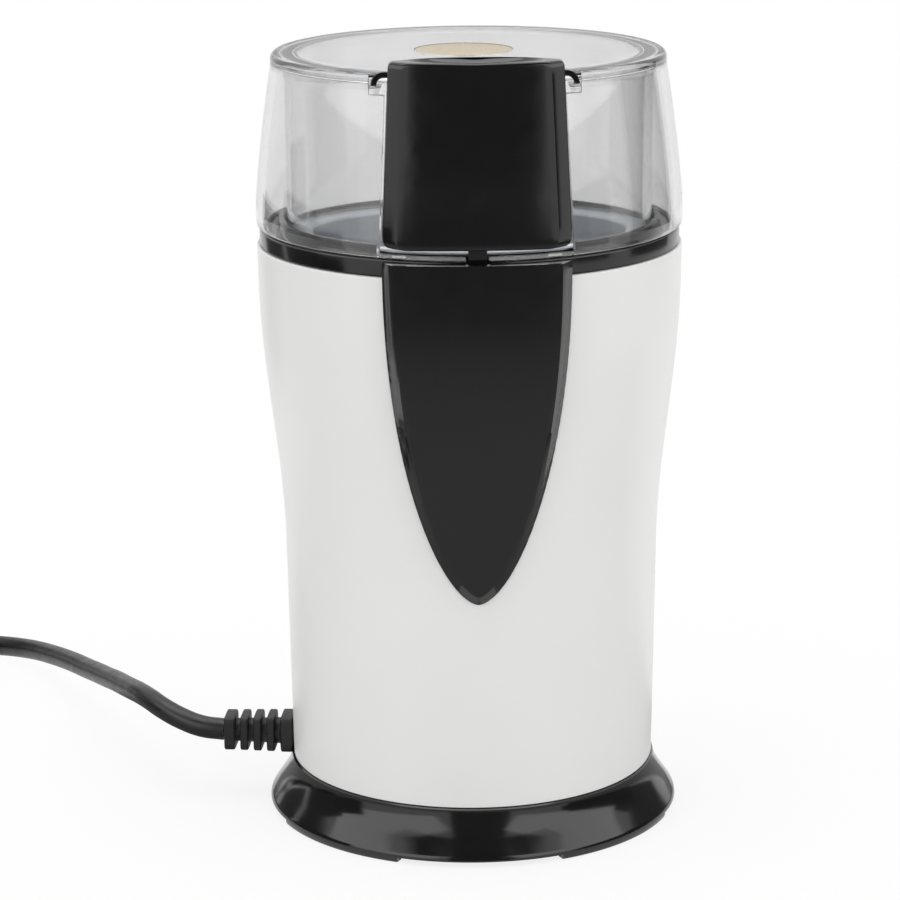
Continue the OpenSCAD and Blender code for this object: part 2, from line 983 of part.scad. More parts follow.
// ---------------------------------------------------------------- press bar

function bar_w(z) = bar_half_foot - (bar_half_foot - bar_half_top) * (z - bar_foot) / (bar_top - bar_foot);
function bar_front(z) =
  bar_front_foot
  - (bar_front_foot - bar_front_top) * pow(max(z - bar_foot, 0) / (bar_top - bar_foot), 1.5);

// Point of the bevel beside the bar's face, from the side (t = 0) to the face (t = 1)
function bar_edge(t, bevel, depth) = [bevel * (1 - t), depth * (1 - t) - 0.3 * sin(180 * t)];

// Section of the bar at height z, w wide each side, with its face at front
function bar_ring(z, w, front, bevel) =
  let (
    flat = w - bevel,
    depth = bar_bevel_depth * bevel / bar_bevel,
    n = 8,
    sag = flat * flat / (2 * bar_bow)
  )
  concat(
    [[-w, -32, z]],
    [for (i = [0:3]) let (e = bar_edge(i / 4, bevel, depth)) [-flat - e[0], -front + sag + e[1], z]],
    [for (i = [0:n]) let (x = -flat + 2 * flat * i / n) [x, -front + x * x / (2 * bar_bow), z]],
    [for (i = [3:-1:0]) let (e = bar_edge(i / 4, bevel, depth)) [flat + e[0], -front + sag + e[1], z]],
    [[w, -32, z]]
  );

// Heights of the bar's sections, each with how far the outline is drawn in there
function bar_stations() = [
  [bar_foot, 2.4], [bar_foot + 0.35, 1.2], [bar_foot + 1, 0.45], [bar_foot + 2.4, 0],
  [156, 0], [166, 0], [175, 0], [bar_top - 0.9, 0], [bar_top - 0.3, 0.2], [bar_top, 0.6]
];

// Black press bar: hollow moulding with a finger dish, side ears, hooks and an interlock pin
module press_bar() {
  color("#1c1c1c") {
    difference() {
      intersection() {
        loft([for (s = bar_stations())
          bar_ring(s[0], bar_w(s[0]) - s[1], bar_front(s[0]) - s[1] * 0.35, bar_bevel)]);
        union() {
          cap_space(0, cap_under);
          difference() {
            block([-30, -60, 140], [30, -37, cap_under + 0.1]);
            cylinder(r = skirt_r + 0.4, h = 200);
          }
        }
      }
      loft([for (z = [bar_foot - 1, 156, 166, 175, cap_under])
        bar_ring(z, bar_w(z) - bar_wall, bar_front(z) - bar_wall, bar_bevel - 0.6)]);
      finger_dish();
    }
    for (s = [-1, 1]) {
      bar_ear(s);
      bar_hook(s);
    }
    bar_pin();
  }
}

// Shallow oval hollow in the top of the bar
module finger_dish() {
  n = 24;
  centre_y = -45.1;
  half = [15.2, 4.9];
  loft([for (k = [0:5]) let (t = k / 5, s = sin(90 * (0.12 + 0.88 * t)))
    [for (i = [0:n - 1]) [half[0] * s * cos(360 * i / n), centre_y + half[1] * s * sin(360 * i / n),
      bar_top - 1.7 * (1 - pow(t, 2)) + (k == 5 ? 0.3 : 0)]]]);
}

// Arched ear that guides the bar in the lid's window, with its root behind the cap
module bar_ear(s) {
  ear_z = cap_under;
  mirror([s < 0 ? 1 : 0, 0, 0]) {
    translate([0, -39.5, 0])
      rotate([90, 0, 0])
        linear_extrude(height = 1.6)
          intersection() {
            translate([17.4, ear_z])
              square([5.6, 2.2]);
            translate([20.2, ear_z - 0.8])
              circle(r = 2.9);
          }
    block([17.5, -46, ear_z - 0.3], [19, -39.6, ear_z + 1.2]);
  }
}

// Hook under the lid's shelf that stops the bar from rising out
module bar_hook(s) {
  translate([s * 6, 0, 0]) {
    block([-1.5, -50.4, 163.2], [1.5, -47.9, 172]);
    block([-1.5, -48.2, 163.2], [1.5, -45.4, shelf_z - 0.15]);
  }
}

// Interlock pin under the bar, with the web that carries it
module bar_pin() {
  block([-pin_half, -pin_front, pin_end], [pin_half, -pin_back, 160]);
  block([-pin_half, -50.9, bar_foot + 0.3], [pin_half, -pin_front + 0.1, 160]);
}

module bar_spring() {
  color("silver")
    translate([0, -45.3, shelf_z + shelf_h + 0.05])
      spring(2, 0.45, cap_under - shelf_z - shelf_h - 0.15, 6);
}

// ---------------------------------------------------------------- interlock

// Push rod behind the front panel, with a foot that reaches in to the switch and a stop bar
module switch_plunger() {
  color("#d8d8d8") {
    block([-3.6, -46.7, plunger_foot + 1], [3.6, -45.4, 130.7]);
    block([-pin_half, -plunger_front, plunger_foot - 4], [pin_half, -plunger_back, plunger_top]);
    block([-pin_half, -plunger_back - 0.1, plunger_foot], [pin_half, switch_y + 1.7, plunger_foot + 2.5]);
  }
}

module plunger_spring() {
  color("silver")
    translate([0, -48.3, spring_seat + 0.05])
      spring(1.15, 0.3, plunger_foot - 4 - spring_seat - 0.1, 6);
}

// Small switch on the carrier's tower, with three tabs below
module microswitch() {
  color("#252525")
    difference() {
      block([-10, -44.4, 113.6], [10, -38.4, switch_top]);
      translate([0, switch_y, switch_top - 1.6])
        cylinder(r = 1.3, h = 3);
      for (s = [-1, 1])
        translate([s * 7.5, -30, 116.5])
          rotate([90, 0, 0])
            cylinder(r = 1.2, h = 20);
    }
  color("goldenrod")
    for (s = [-1, 0, 1])
      block([s * 7.6 - 1.5, -42.6, 110], [s * 7.6 + 1.5, -42.1, 113.7]);
}

module switch_button() {
  color("firebrick")
    translate([0, switch_y, switch_top - 0.5])
      cylinder(r = 1.2, h = button_top - switch_top + 0.5);
}

// Point beside a radial line: r along it, side across it
function beside(a, r, side, z) = [r * cos(a) - side * sin(a), r * sin(a) + side * cos(a), z];

// Climb along the wall from the lead's end to the hole in the motor carrier
function wire_climb(k) =
  [for (i = [0:12]) let (t = i / 12, a = boot_angle + 10 + (wire_angle - boot_angle - 10) * ease(t * 1.3))
    beside(a + 3 * k, 35.6 + 0.6 * t, 0, 25 + 79 * t)];

// Wires from the lead's end to the switch, and from there and the lead to the motor
module switch_leads() {
  a = boot_angle;
  color("saddlebrown") {
    tube(concat(
      [beside(a, 28.9, 0.9, cord_z), beside(a, 27, 1, cord_z + 0.6), beside(a, 26.4, 1.3, cord_z + 3),
        beside(a, 28.5, 2.6, 21.8), beside(a, 32.5, 4.5, 23.7)],
      wire_climb(0),
      [[-10.6, -37.8, 106.2], [-10, -41.2, 107.6], [-7.7, -42.3, 109.9]]
    ), 0.8, 6);
    tube([
      beside(a, 28.9, -0.9, cord_z), beside(a, 27, -1, cord_z + 0.6), beside(a, 26.2, -1.2, cord_z + 3),
      beside(a, 27.6, -1.5, 22), beside(a, 29.8, -2.5, 27), beside(a, 30.4, -3.2, 34),
      beside(a, 29.6, -3.6, 40), beside(a, 27.4, -3.6, 43.4)
    ], 0.8, 6);
    tube([
      [0, -42.3, 109.9], [0.3, -41.5, 107.8], [2, -39.4, 105.5], [3.4, -37.4, 103.4],
      [3.6, -36.5, 101], [3.6, -36.3, 97], [3.6, -36.3, 92], [3, -34.5, 87],
      [2, -30, 84.5], [1, -25, 83.4], [0.6, -20.4, 82]
    ], 0.8, 6);
  }
}

// ---------------------------------------------------------------- mains lead

// Rounded-square plate of the boot, from x0 to x1 along its axis
module boot_plate(x0, x1, half) {
  translate([x0, 0, 0])
    rotate([0, 90, 0])
      linear_extrude(height = x1 - x0)
        intersection() {
          square(2 * half, center = true);
          circle(r = half * 1.24);
        }
}

// Ribbed, slightly tapered boot with a neck and an inner flange
module strain_relief() {
  pitch = 3.28;
  rib = 1.9;
  color("#242424")
    rotate([0, 0, boot_angle])
      translate([boot_root, 0, cord_z])
        difference() {
          union() {
            boot_plate(0.1, 3.1, 4.5);
            for (i = [0:3])
              boot_plate(4.65 + pitch * i, 4.65 + pitch * i + rib + (i == 3 ? 0.7 : 0), 4.4 - 0.06 * i);
            rotate([0, 90, 0])
              translate([0, 0, -5])
                cylinder(r1 = 3.3, r2 = 2.8, h = boot_length + 5);
            rotate([0, 90, 0])
              translate([0, 0, -2.6])
                cylinder(r = 3.9, h = 3);
            rotate([0, 90, 0])
              translate([0, 0, -5])
                cylinder(r = 5.9, h = 2.3);
          }
          rotate([0, 90, 0])
            translate([0, 0, -6])
              cylinder(r = cord_d / 2 - 0.6, h = 5);
        }
}

// Sheathed end of the lead inside the housing
module lead_end() {
  color("#242424")
    rotate([0, 0, boot_angle])
      translate([29, 0, cord_z])
        rotate([0, 90, 0])
          cylinder(r = cord_d / 2 - 0.65, h = boot_root - 5.1 - 29);
}

// Saddle that holds the lead's end down on the bottom cover
module lead_clamp() {
  color("#444444")
    rotate([0, 0, boot_angle])
      difference() {
        block([31, -6.5, cord_z - cord_d / 2], [35.5, 6.5, cord_z + 4.5]);
        translate([29, 0, cord_z])
          rotate([0, 90, 0])
            cylinder(r = cord_d / 2 - 0.6, h = 9);
      }
}

module cord_lead() {
  color("#262626")
    tube(lead_route, cord_d / 2);
}

// Outer form of the wound part of the lead, two turns wide and two high
module cord_coil() {
  half = cord_d;
  color("#262626")
    translate([coil_centre[0], coil_centre[1], coil_lift + half])
      rotate_extrude()
        translate([coil_turn_r, 0])
          coil_section(half, 1.8);
}

// Rounded square with half size half
module coil_section(half, corner) {
  square([2 * half, 2 * (half - corner)], center = true);
  square([2 * (half - corner), 2 * half], center = true);
  for (sx = [-1, 1])
    for (sy = [-1, 1])
      translate([sx * (half - corner), sy * (half - corner)])
        circle(r = corner);
}

module cord_tail() {
  color("#262626")
    tube(tail_route, cord_d / 2);
}

// Flat band round the bundle
module cord_tie() {
  half = cord_d + 0.05;
  band = coil_lift - 0.1;
  color("#3c3c3c")
    translate([coil_centre[0], coil_centre[1], coil_lift + cord_d])
      rotate([0, 0, tie_angle])
        translate([coil_turn_r, 0, 0])
          rotate([90, 0, 0])
            linear_extrude(height = 6, center = true)
              difference() {
                coil_section(half + band, 2.2);
                coil_section(half, 1.7);
              }
}

// Flat two-pin plug, lying on its side faces, with a tapered rear boot
module plug_body() {
  color("#242424")
    translate([plug_x, plug_rear, plug_z])
      rotate([90, 0, 0]) {
        cylinder(r1 = 3.5, r2 = 5, h = 22);
        translate([0, 0, 20])
          plug_block(36);
      }
}

// Body of the plug: six-sided face, drawn in toward the lead
module plug_block(length) {
  hull() {
    translate([0, 0, length - 1])
      linear_extrude(height = 1)
        plug_face(17, 6.8);
    translate([0, 0, length - 14])
      linear_extrude(height = 1)
        plug_face(16.4, 6.8);
    linear_extrude(height = 1)
      plug_face(8, 5.6);
  }
}

module plug_face(w, h) {
  polygon([[-w, -h + 3.4], [-w + 4, -h], [w - 4, -h], [w, -h + 3.4], [w, h - 3.4],
    [w - 4, h], [-w + 4, h], [-w, h - 3.4]]);
}

module plug_pins() {
  color("silver")
    for (s = [-1, 1])
      translate([plug_x + s * 9.25, plug_rear - 56, plug_z])
        rotate([90, 0, 0]) {
          cylinder(r = 2, h = 18);
          translate([0, 0, 18])
            cylinder(r1 = 2, r2 = 1.2, h = 1);
        }
}

// ---------------------------------------------------------------- nodes

body_shell();
front_panel();
top_collar();
bowl_gasket();
grinding_bowl();
shaft_seal();
base_ring();
bottom_cover();
rubber_feet();
cover_screws();
upper_bracket();
lower_bracket();
motor_damper();
motor_screws();
upper_bushing();
lower_bushing();
stator_core();
field_coils();
brush_holders();
carbon_brushes();
brush_springs();
drive_shaft();
thrust_washers();
armature_core();
armature_windings();
commutator();
cooling_fan();
grinding_blade();
blade_nut();
lid_shell();
lid_disc();
press_bar();
bar_spring();
switch_plunger();
plunger_spring();
microswitch();
switch_button();
switch_leads();
strain_relief();
lead_end();
lead_clamp();
cord_lead();
cord_coil();
cord_tail();
cord_tie();
plug_body();
plug_pins();
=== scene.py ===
"""Electric spice grinder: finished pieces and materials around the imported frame."""

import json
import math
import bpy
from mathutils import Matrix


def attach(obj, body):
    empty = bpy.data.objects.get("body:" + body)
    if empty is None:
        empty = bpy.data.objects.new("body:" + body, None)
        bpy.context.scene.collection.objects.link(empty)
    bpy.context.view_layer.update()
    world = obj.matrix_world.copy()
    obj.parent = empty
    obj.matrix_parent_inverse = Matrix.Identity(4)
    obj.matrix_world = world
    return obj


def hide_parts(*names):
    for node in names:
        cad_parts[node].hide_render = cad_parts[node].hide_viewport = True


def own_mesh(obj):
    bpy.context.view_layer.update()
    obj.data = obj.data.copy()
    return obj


bl_info = {
    "name": "Spice Grinder",
    "version": (1, 0, 0),
    "blender": (4, 5, 0),
    "location": "View3D > Sidebar > Grinder",
    "description": "Builds the pieces, finishes and studio of an electric spice grinder",
    "category": "Add Mesh",
}

import bmesh
import bpy
from mathutils import Euler, Matrix, Vector

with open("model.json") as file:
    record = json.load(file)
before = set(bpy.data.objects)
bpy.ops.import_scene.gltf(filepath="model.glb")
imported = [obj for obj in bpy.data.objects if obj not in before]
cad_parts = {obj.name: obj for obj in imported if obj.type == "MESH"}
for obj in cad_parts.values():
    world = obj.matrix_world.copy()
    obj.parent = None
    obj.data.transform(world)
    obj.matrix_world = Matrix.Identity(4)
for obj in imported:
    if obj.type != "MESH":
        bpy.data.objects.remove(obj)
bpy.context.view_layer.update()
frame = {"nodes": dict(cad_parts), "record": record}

MM = 0.001
FACETS = 224  # round a turned piece
LID_FACETS = 288

# Mains lead, in millimetres, in the order that it runs
LEAD_ROUTE = [
    (-60.9, 6.4, 15.5), (-66.6, 7.3, 16.1), (-71.8, 9.5, 17.5), (-76.2, 12.9, 18.9),
    (-79.6, 17.5, 19.7), (-82.4, 23.6, 19.3), (-85, 31, 18), (-87.7, 39, 16.5),
    (-90.5, 47, 15.1), (-93.4, 55, 13.5), (-96.5, 63, 12.1), (-99.8, 71, 10.7),
    (-103.3, 79, 9.5), (-107, 87, 8.2), (-111, 94.8, 6.9), (-115.4, 102.4, 5.6),
    (-120.7, 109.2, 4.4), (-127.3, 114.8, 3.4), (-135.2, 118.5, 2.8), (-143.6, 120, 2.7),
    (-152, 120, 3), (-160, 120, 3.4),
]
TAIL_ROUTE = [
    (-201.7, 78, 8.6), (-201.7, 69, 8), (-201.7, 60, 7.4), (-201.7, 51, 7.1), (-201.7, 43, 7),
]
COIL_CENTRE = (-168, 86.3)
COIL_RADII = (28.3, 33.7)
COIL_HEIGHTS = (3.4, 8.8)
COIL_TURNS = 3.25
COIL_POINTS = 28  # in each turn
BOOT_ANGLE = 174  # degrees from +X
BOOT_ROOT = 43.8
LEAD_Z = 15.5
PLUG = (-201.7, 43, 7)
PLUG_LENGTH = 56
PLUG_PIN_SIDE = 9.25  # from the plug's middle to a pin

# Housing, panel and collar, in millimetres
HOUSING_FOOT = 12.5
PANEL_TOP = 142.4
PANEL_GAP = 0.12  # between the housing and the panel's back
SLOT_HALF = 2.6  # half the width of the slot for the interlock pin
COLLAR_TOP = 143

# Lid, in millimetres
SKIRT_RADIUS = 42.9  # outside of the inner wall
LID_FOOT = 143.2
LID_BELLY = 147  # below it the side wall is straight
LID_SHOULDER = 181
GAP_TOP = 181.4  # top of the space between the two walls
PLATE_UNDER = 182.2
RECESS_FOOT = 143.6  # of the press bar's space, which leaves room for its travel
SHELF = (166, 168)  # underside and top of the spring shelf
DISC_RADIUS = 11.4
DISC_SHIFT = -1.1  # sideways

# Press bar, in millimetres
BAR_FOOT = 146.2
BAR_CAP = 181.9  # underside of its solid top
BAR_CURVE = 200  # twice the radius of its bowed face
CAP_CENTRE = -78.1  # Y of the middle of the arc at its back
CAP_RADIUS = 38.6
DISH = (15.2, 4.9)  # half sizes of the finger dish
DISH_Y = -45.2
EAR_CENTRE = (20.2, -0.8)  # sideways, and above BAR_CAP
EAR_RADII = (2.9, 1.6)  # outside and inside of the arch

# Soft lamps: name, place, aim, width, height in metres, and power in watts
LAMPS = [
    ("overhead_softbox", (0.0, 0.15, 1.5), (0, 0, 0.1), 1.6, 1.2, 11),
    ("left_softbox", (-0.85, -0.55, 0.55), (0, 0, 0.05), 1.45, 0.62, 3.4),
    ("right_softbox", (0.85, -0.55, 0.55), (0, 0, 0.05), 1.45, 0.62, 3.4),
]
# Cards that shape the reflections: name, turn in degrees from the front, two corners in millimetres,
# and the shade near the object and far from it
FLAGS = [
    ("floor_flag", 0, (-350, -1150, 1), (350, -70, 2), (0.45, 0.1)),
    ("floor_left_flag", 0, (-420, -70, 1), (-56, 60, 2), (0.35, 0.35)),
    ("floor_right_flag", 0, (56, -70, 1), (420, 60, 2), (0.35, 0.35)),
    ("back_flag", 180, (-500, -1505, 230), (500, -1500, 560), (0.85, 0.85)),
    ("front_flag", 0, (-330, -1200, 0), (430, -1195, 1700), (0.1, 0.1)),
    ("high_flag", 0, (-900, -880, 900), (900, -260, 905), (0.1, 0.1)),
    ("right_flag", 64, (-148, -705, 40), (148, -700, 165), (0.06, 0.06)),
    ("low_right_flag", 76, (-89, -205, 3), (89, -200, 60), (0.08, 0.08)),
    ("side_right_flag", 112, (-255, -705, 0), (255, -700, 290), (0.12, 0.12)),
    ("left_flag", -80, (-62, -305, 3), (62, -300, 115), (0.08, 0.08)),
    ("side_left_flag", -98, (-75, -305, 3), (75, -300, 135), (0.12, 0.12)),
    ("rear_left_flag", -128, (-65, -305, 25), (65, -300, 115), (0.12, 0.12)),
]


# ---------------------------------------------------------------- sizes and colours


def srgb(code):
    """Linear colour with alpha from an sRGB hex code."""
    parts = [int(code[i:i + 2], 16) / 255 for i in (1, 3, 5)]
    return [c / 12.92 if c <= 0.04045 else ((c + 0.055) / 1.055) ** 2.4 for c in parts] + [1.0]


def length(name, description, default):
    """Property for a length in metres."""
    return bpy.props.FloatProperty(
        name=name, description=description, default=default, min=0, unit="LENGTH", precision=4
    )


def colour(name, description, code):
    """Property for a colour given as an sRGB hex code."""
    return bpy.props.FloatVectorProperty(
        name=name, description=description, default=srgb(code), size=4, min=0, max=1, subtype="COLOR"
    )


class GrinderSizes(bpy.types.PropertyGroup):
    """Sizes of the pieces."""

    housing_radius: length("Housing radius", "Radius where the housing meets the base", 0.0437)
    housing_flare: length("Housing flare", "How much wider the housing gets at the top", 0.0043)
    base_radius: length("Base radius", "Outer radius of the base ring", 0.05)
    panel_half: length("Panel half width", "Half the width of the front panel at its top", 0.0212)
    panel_tip: length("Panel tip", "Height of the front panel's tip", 0.0623)
    panel_proud: length("Panel height", "How far the front panel stands out of the housing", 0.0021)
    lid_radius: length("Lid radius", "Widest radius of the lid", 0.05015)
    lid_top: length("Lid top", "Height of the lid's top face", 0.1836)
    bar_top: length("Bar top", "Height of the press bar's top", 0.187)
    bar_half_foot: length("Bar foot", "Half the width of the press bar at its foot", 0.0211)
    bar_half_top: length("Bar head", "Half the width of the press bar at its top", 0.0193)
    bowl_radius: length("Bowl radius", "Outer radius of the steel bowl", 0.0372)
    blade_length: length("Blade length", "Length of the blade from tip to tip", 0.058)
    lead_diameter: length("Lead diameter", "Diameter of the mains lead", 0.0054)


class GrinderColours(bpy.types.PropertyGroup):
    """Main colours of the pieces."""

    housing: colour("Housing", "Colour of the housing", "#E6E6E5")
    trim: colour("Trim", "Colour of the glossy black pieces", "#0E0E0F")
    lid: colour("Lid", "Tint of the clear lid", "#EEEEEE")
    disc: colour("Disc", "Colour of the metal disc", "#CDBE9E")
    lead: colour("Lead", "Colour of the mains lead", "#161617")


# ---------------------------------------------------------------- mesh tools


def mesh_object(name, verts, faces):
    """Closed mesh object from millimetre points, with its normals facing out."""
    mesh = bpy.data.meshes.new(name)
    mesh.from_pydata([[c * MM for c in v] for v in verts], [], faces)
    work = bmesh.new()
    work.from_mesh(mesh)
    bmesh.ops.recalc_face_normals(work, faces=work.faces)
    work.to_mesh(mesh)
    work.free()
    obj = bpy.data.objects.new(name, mesh)
    bpy.context.scene.collection.objects.link(obj)
    return obj


def turned(name, profile, facets=FACETS):
    """Solid of a closed (radius, height) profile turned about Z."""
    ring = [(math.cos(math.tau * k / facets), math.sin(math.tau * k / facets)) for k in range(facets)]
    verts, rows, faces = [], [], []
    for radius, height in profile:
        if radius < 1e-6:
            rows.append([len(verts)] * facets)
            verts.append((0, 0, height))
        else:
            rows.append(list(range(len(verts), len(verts) + facets)))
            verts += [(radius * c, radius * s, height) for c, s in ring]
    for low, high in zip(rows, rows[1:] + rows[:1]):
        for k in range(facets):
            n = (k + 1) % facets
            face = list(dict.fromkeys((low[k], low[n], high[n], high[k])))
            if len(face) > 2:
                faces.append(face)
    return mesh_object(name, verts, faces)


def lofted(name, rings, closed=False):
    """Solid with a skin through rings of equal length, capped unless it closes on itself."""
    count = len(rings[0])
    verts = [p for ring in rings for p in ring]
    faces = []
    for j in range(len(rings) if closed else len(rings) - 1):
        a, b = j * count, (j + 1) % len(rings) * count
        for i in range(count):
            n = (i + 1) % count
            faces.append((a + i, a + n, b + n, b + i))
    if not closed:
        faces += [tuple(range(count)), tuple(range(len(verts) - count, len(verts)))]
    return mesh_object(name, verts, faces)


def rounded(corners, steps=6):
    """Closed outline through (x, y, radius) corners, with an arc of that radius at each."""
    straight = math.pi - 0.02  # a corner this open stays as it is
    share = 0.49  # how much of a side an arc may take
    outline = []
    for k, (x, y, radius) in enumerate(corners):
        here = Vector((x, y))
        back = Vector(corners[k - 1][:2]) - here
        ahead = Vector(corners[(k + 1) % len(corners)][:2]) - here
        turn = back.angle(ahead)
        if radius <= 0 or turn > straight:
            outline.append((x, y))
            continue
        reach = min(radius / math.tan(turn / 2), share * back.length, share * ahead.length)
        radius = reach * math.tan(turn / 2)
        middle = here + (back.normalized() + ahead.normalized()).normalized() * radius / math.sin(turn / 2)
        first = here + back.normalized() * reach - middle
        last = here + ahead.normalized() * reach - middle
        for s in range(steps + 1):
            t = s / steps
            arm = first * math.sin((1 - t) * (math.pi - turn)) + last * math.sin(t * (math.pi - turn))
            outline.append(tuple(middle + arm.normalized() * radius))
    return outline


def arc(centre, radius, start, end, steps=16):
    """Points of an arc, with its angles in degrees."""
    angles = [math.radians(start + (end - start) * k / steps) for k in range(steps + 1)]
    return [(centre[0] + radius * math.cos(a), centre[1] + radius * math.sin(a)) for a in angles]


def bend(first, middle, last, t):
    """Point at t of the curve from first to last that leans towards middle."""
    return [(1 - t) ** 2 * a + 2 * t * (1 - t) * b + t * t * c for a, b, c in zip(first, middle, last)]


def superellipse(half_x, half_y, power, count):
    """Points of a rounded square, from a circle at power 2 to a square at a high power."""
    points = []
    for k in range(count):
        c, s = math.cos(math.tau * k / count), math.sin(math.tau * k / count)
        points.append((
            half_x * math.copysign(abs(c) ** (2 / power), c),
            half_y * math.copysign(abs(s) ** (2 / power), s),
        ))
    return points


def prism(outline, low, high, name="cutter"):
    """Straight solid of a plan outline between two heights."""
    return lofted(name, [[(x, y, z) for x, y in outline] for z in (low, high)])


def block(low, high, name="cutter"):
    """Box between two corners."""
    outline = [(low[0], low[1]), (high[0], low[1]), (high[0], high[1]), (low[0], high[1])]
    return prism(outline, low[2], high[2], name)


def tube(name, path, radius, sides):
    """Round tube along a list of millimetre points."""
    points = [Vector(p) for p in path]
    rings = []
    side = None
    for k, here in enumerate(points):
        ahead = (points[min(k + 1, len(points) - 1)] - points[max(k - 1, 0)]).normalized()
        if side is None:
            side = ahead.orthogonal().normalized()
        side = (side - ahead * side.dot(ahead)).normalized()
        up = ahead.cross(side)
        rings.append([
            tuple(here + (side * math.cos(a) + up * math.sin(a)) * radius)
            for a in (math.tau * i / sides for i in range(sides))
        ])
    return lofted(name, rings)


def rotation(degrees, axis="Z"):
    """Matrix that turns about an axis."""
    return Matrix.Rotation(math.radians(degrees), 4, axis)


def bake(obj):
    """Applies an object's modifiers to its mesh."""
    graph = bpy.context.evaluated_depsgraph_get()
    mesh = bpy.data.meshes.new_from_object(obj.evaluated_get(graph))
    obj.modifiers.clear()
    obj.data, old = mesh, obj.data
    bpy.data.meshes.remove(old)


def combine(obj, tools, operation="DIFFERENCE"):
    """Cuts, adds or intersects tool solids, and deletes them."""
    for tool in tools:
        change = obj.modifiers.new("combine", "BOOLEAN")
        change.object, change.operation, change.solver = tool, operation, "MANIFOLD"
        bake(obj)
        bpy.data.objects.remove(tool)
    return obj


def soften(obj, width):
    """Rounds the sharp edges."""
    change = obj.modifiers.new("soften", "BEVEL")
    change.width, change.segments = width * MM, 3
    change.limit_method, change.angle_limit = "ANGLE", math.radians(30)
    change.use_clamp_overlap = True
    bake(obj)
    return obj


def join(first, *others):
    """Joins closed solids into one mesh object."""
    work = bmesh.new()
    for obj in (first, *others):
        work.from_mesh(obj.data)
    work.to_mesh(first.data)
    work.free()
    for obj in others:
        bpy.data.objects.remove(obj)
    return first


def finish(obj, body, slot, replaced=(), sharp=28, material=None):
    """Smooths a piece, parents it to its body, hides the CAD nodes that it replaces, and gives it the slot's
    material or a named one.
    """
    if obj.type == "MESH":
        work = bmesh.new()
        work.from_mesh(obj.data)
        bmesh.ops.remove_doubles(work, verts=work.verts, dist=1e-6)
        bmesh.ops.dissolve_degenerate(work, edges=work.edges, dist=1e-7)
        work.to_mesh(obj.data)
        work.free()
        obj.data.shade_smooth()
        obj.data.set_sharp_from_angle(angle=math.radians(sharp))
    obj.data.materials.clear()
    obj.data.materials.append(materials[material or slot])
    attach(obj, body)
    if replaced:
        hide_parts(*replaced)
    return obj


# ---------------------------------------------------------------- materials


materials = {}


def add_node(tree, kind, settings=None, links=None):
    """Adds a node, sets its values and feeds its sockets."""
    node = tree.nodes.new(kind)
    for key, value in (settings or {}).items():
        if hasattr(node, str(key)):
            setattr(node, key, value)
        else:
            node.inputs[key].default_value = value
    for key, source in (links or {}).items():
        tree.links.new(source, node.inputs[key])
    return node


def start_material(name):
    """New material with a Principled shader, its tree and object coordinates."""
    material = bpy.data.materials.new(name)
    material.use_nodes = True
    tree = material.node_tree
    place = add_node(tree, "ShaderNodeTexCoord")
    return material, tree, tree.nodes["Principled BSDF"], place.outputs["Object"]


def tones(tree, place, size, low, high, detail=3.0, stretch=(1, 1, 1), offset=0.0):
    """Colour between two values after a noise whose features are about size millimetres wide."""
    mapping = add_node(tree, "ShaderNodeMapping", {"Scale": stretch, "Location": (offset,) * 3},
                       {"Vector": place})
    noise = add_node(tree, "ShaderNodeTexNoise", {"Scale": 1 / (size * MM), "Detail": detail},
                     {"Vector": mapping.outputs["Vector"]})
    ramp = add_node(tree, "ShaderNodeValToRGB", None, {"Fac": noise.outputs["Fac"]})
    ramp.color_ramp.elements[0].position, ramp.color_ramp.elements[1].position = 0.3, 0.7
    ramp.color_ramp.elements[0].color, ramp.color_ramp.elements[1].color = low, high
    return ramp.outputs["Color"], noise.outputs["Fac"]


def cover(tree, shader, tone, gloss, relief, height, strength=1.0):
    """Feeds a shader's colour, roughness and bump, whose height is in millimetres."""
    bump = add_node(tree, "ShaderNodeBump", {"Distance": height * MM, "Strength": strength},
                    {"Height": relief})
    tree.links.new(tone, shader.inputs["Base Color"])
    tree.links.new(gloss, shader.inputs["Roughness"])
    tree.links.new(bump.outputs["Normal"], shader.inputs["Normal"])


def shade(code, factor):
    """A colour made lighter or darker by a factor."""
    values = srgb(code) if isinstance(code, str) else list(code)
    return [min(1, c * factor) for c in values[:3]] + [1.0]


def grey(value):
    """Grey level as a colour with alpha."""
    return (value, value, value, 1.0)


def solid_finish(name, base, tone, rough, grain, stretch=(1, 1, 1), **sockets):
    """Solid with tone (spread, size), rough (least, most, size) and grain (size, height), sizes in mm."""
    material, tree, shader, place = start_material(name)
    spread, tone_mm = tone
    least, most, rough_mm = rough
    grain_mm, grain_height = grain
    # Each noise starts elsewhere, so that the three don't line up
    tone, _ = tones(tree, place, tone_mm, shade(base, 1 - spread), shade(base, 1 + spread))
    gloss, _ = tones(tree, place, rough_mm, grey(least), grey(most), 4, stretch, 7)
    _, relief = tones(tree, place, grain_mm, grey(0), grey(1), 2, stretch, 3)
    cover(tree, shader, tone, gloss, relief, grain_height)
    for key, value in sockets.items():
        shader.inputs[key.replace("_", " ")].default_value = value
    return material


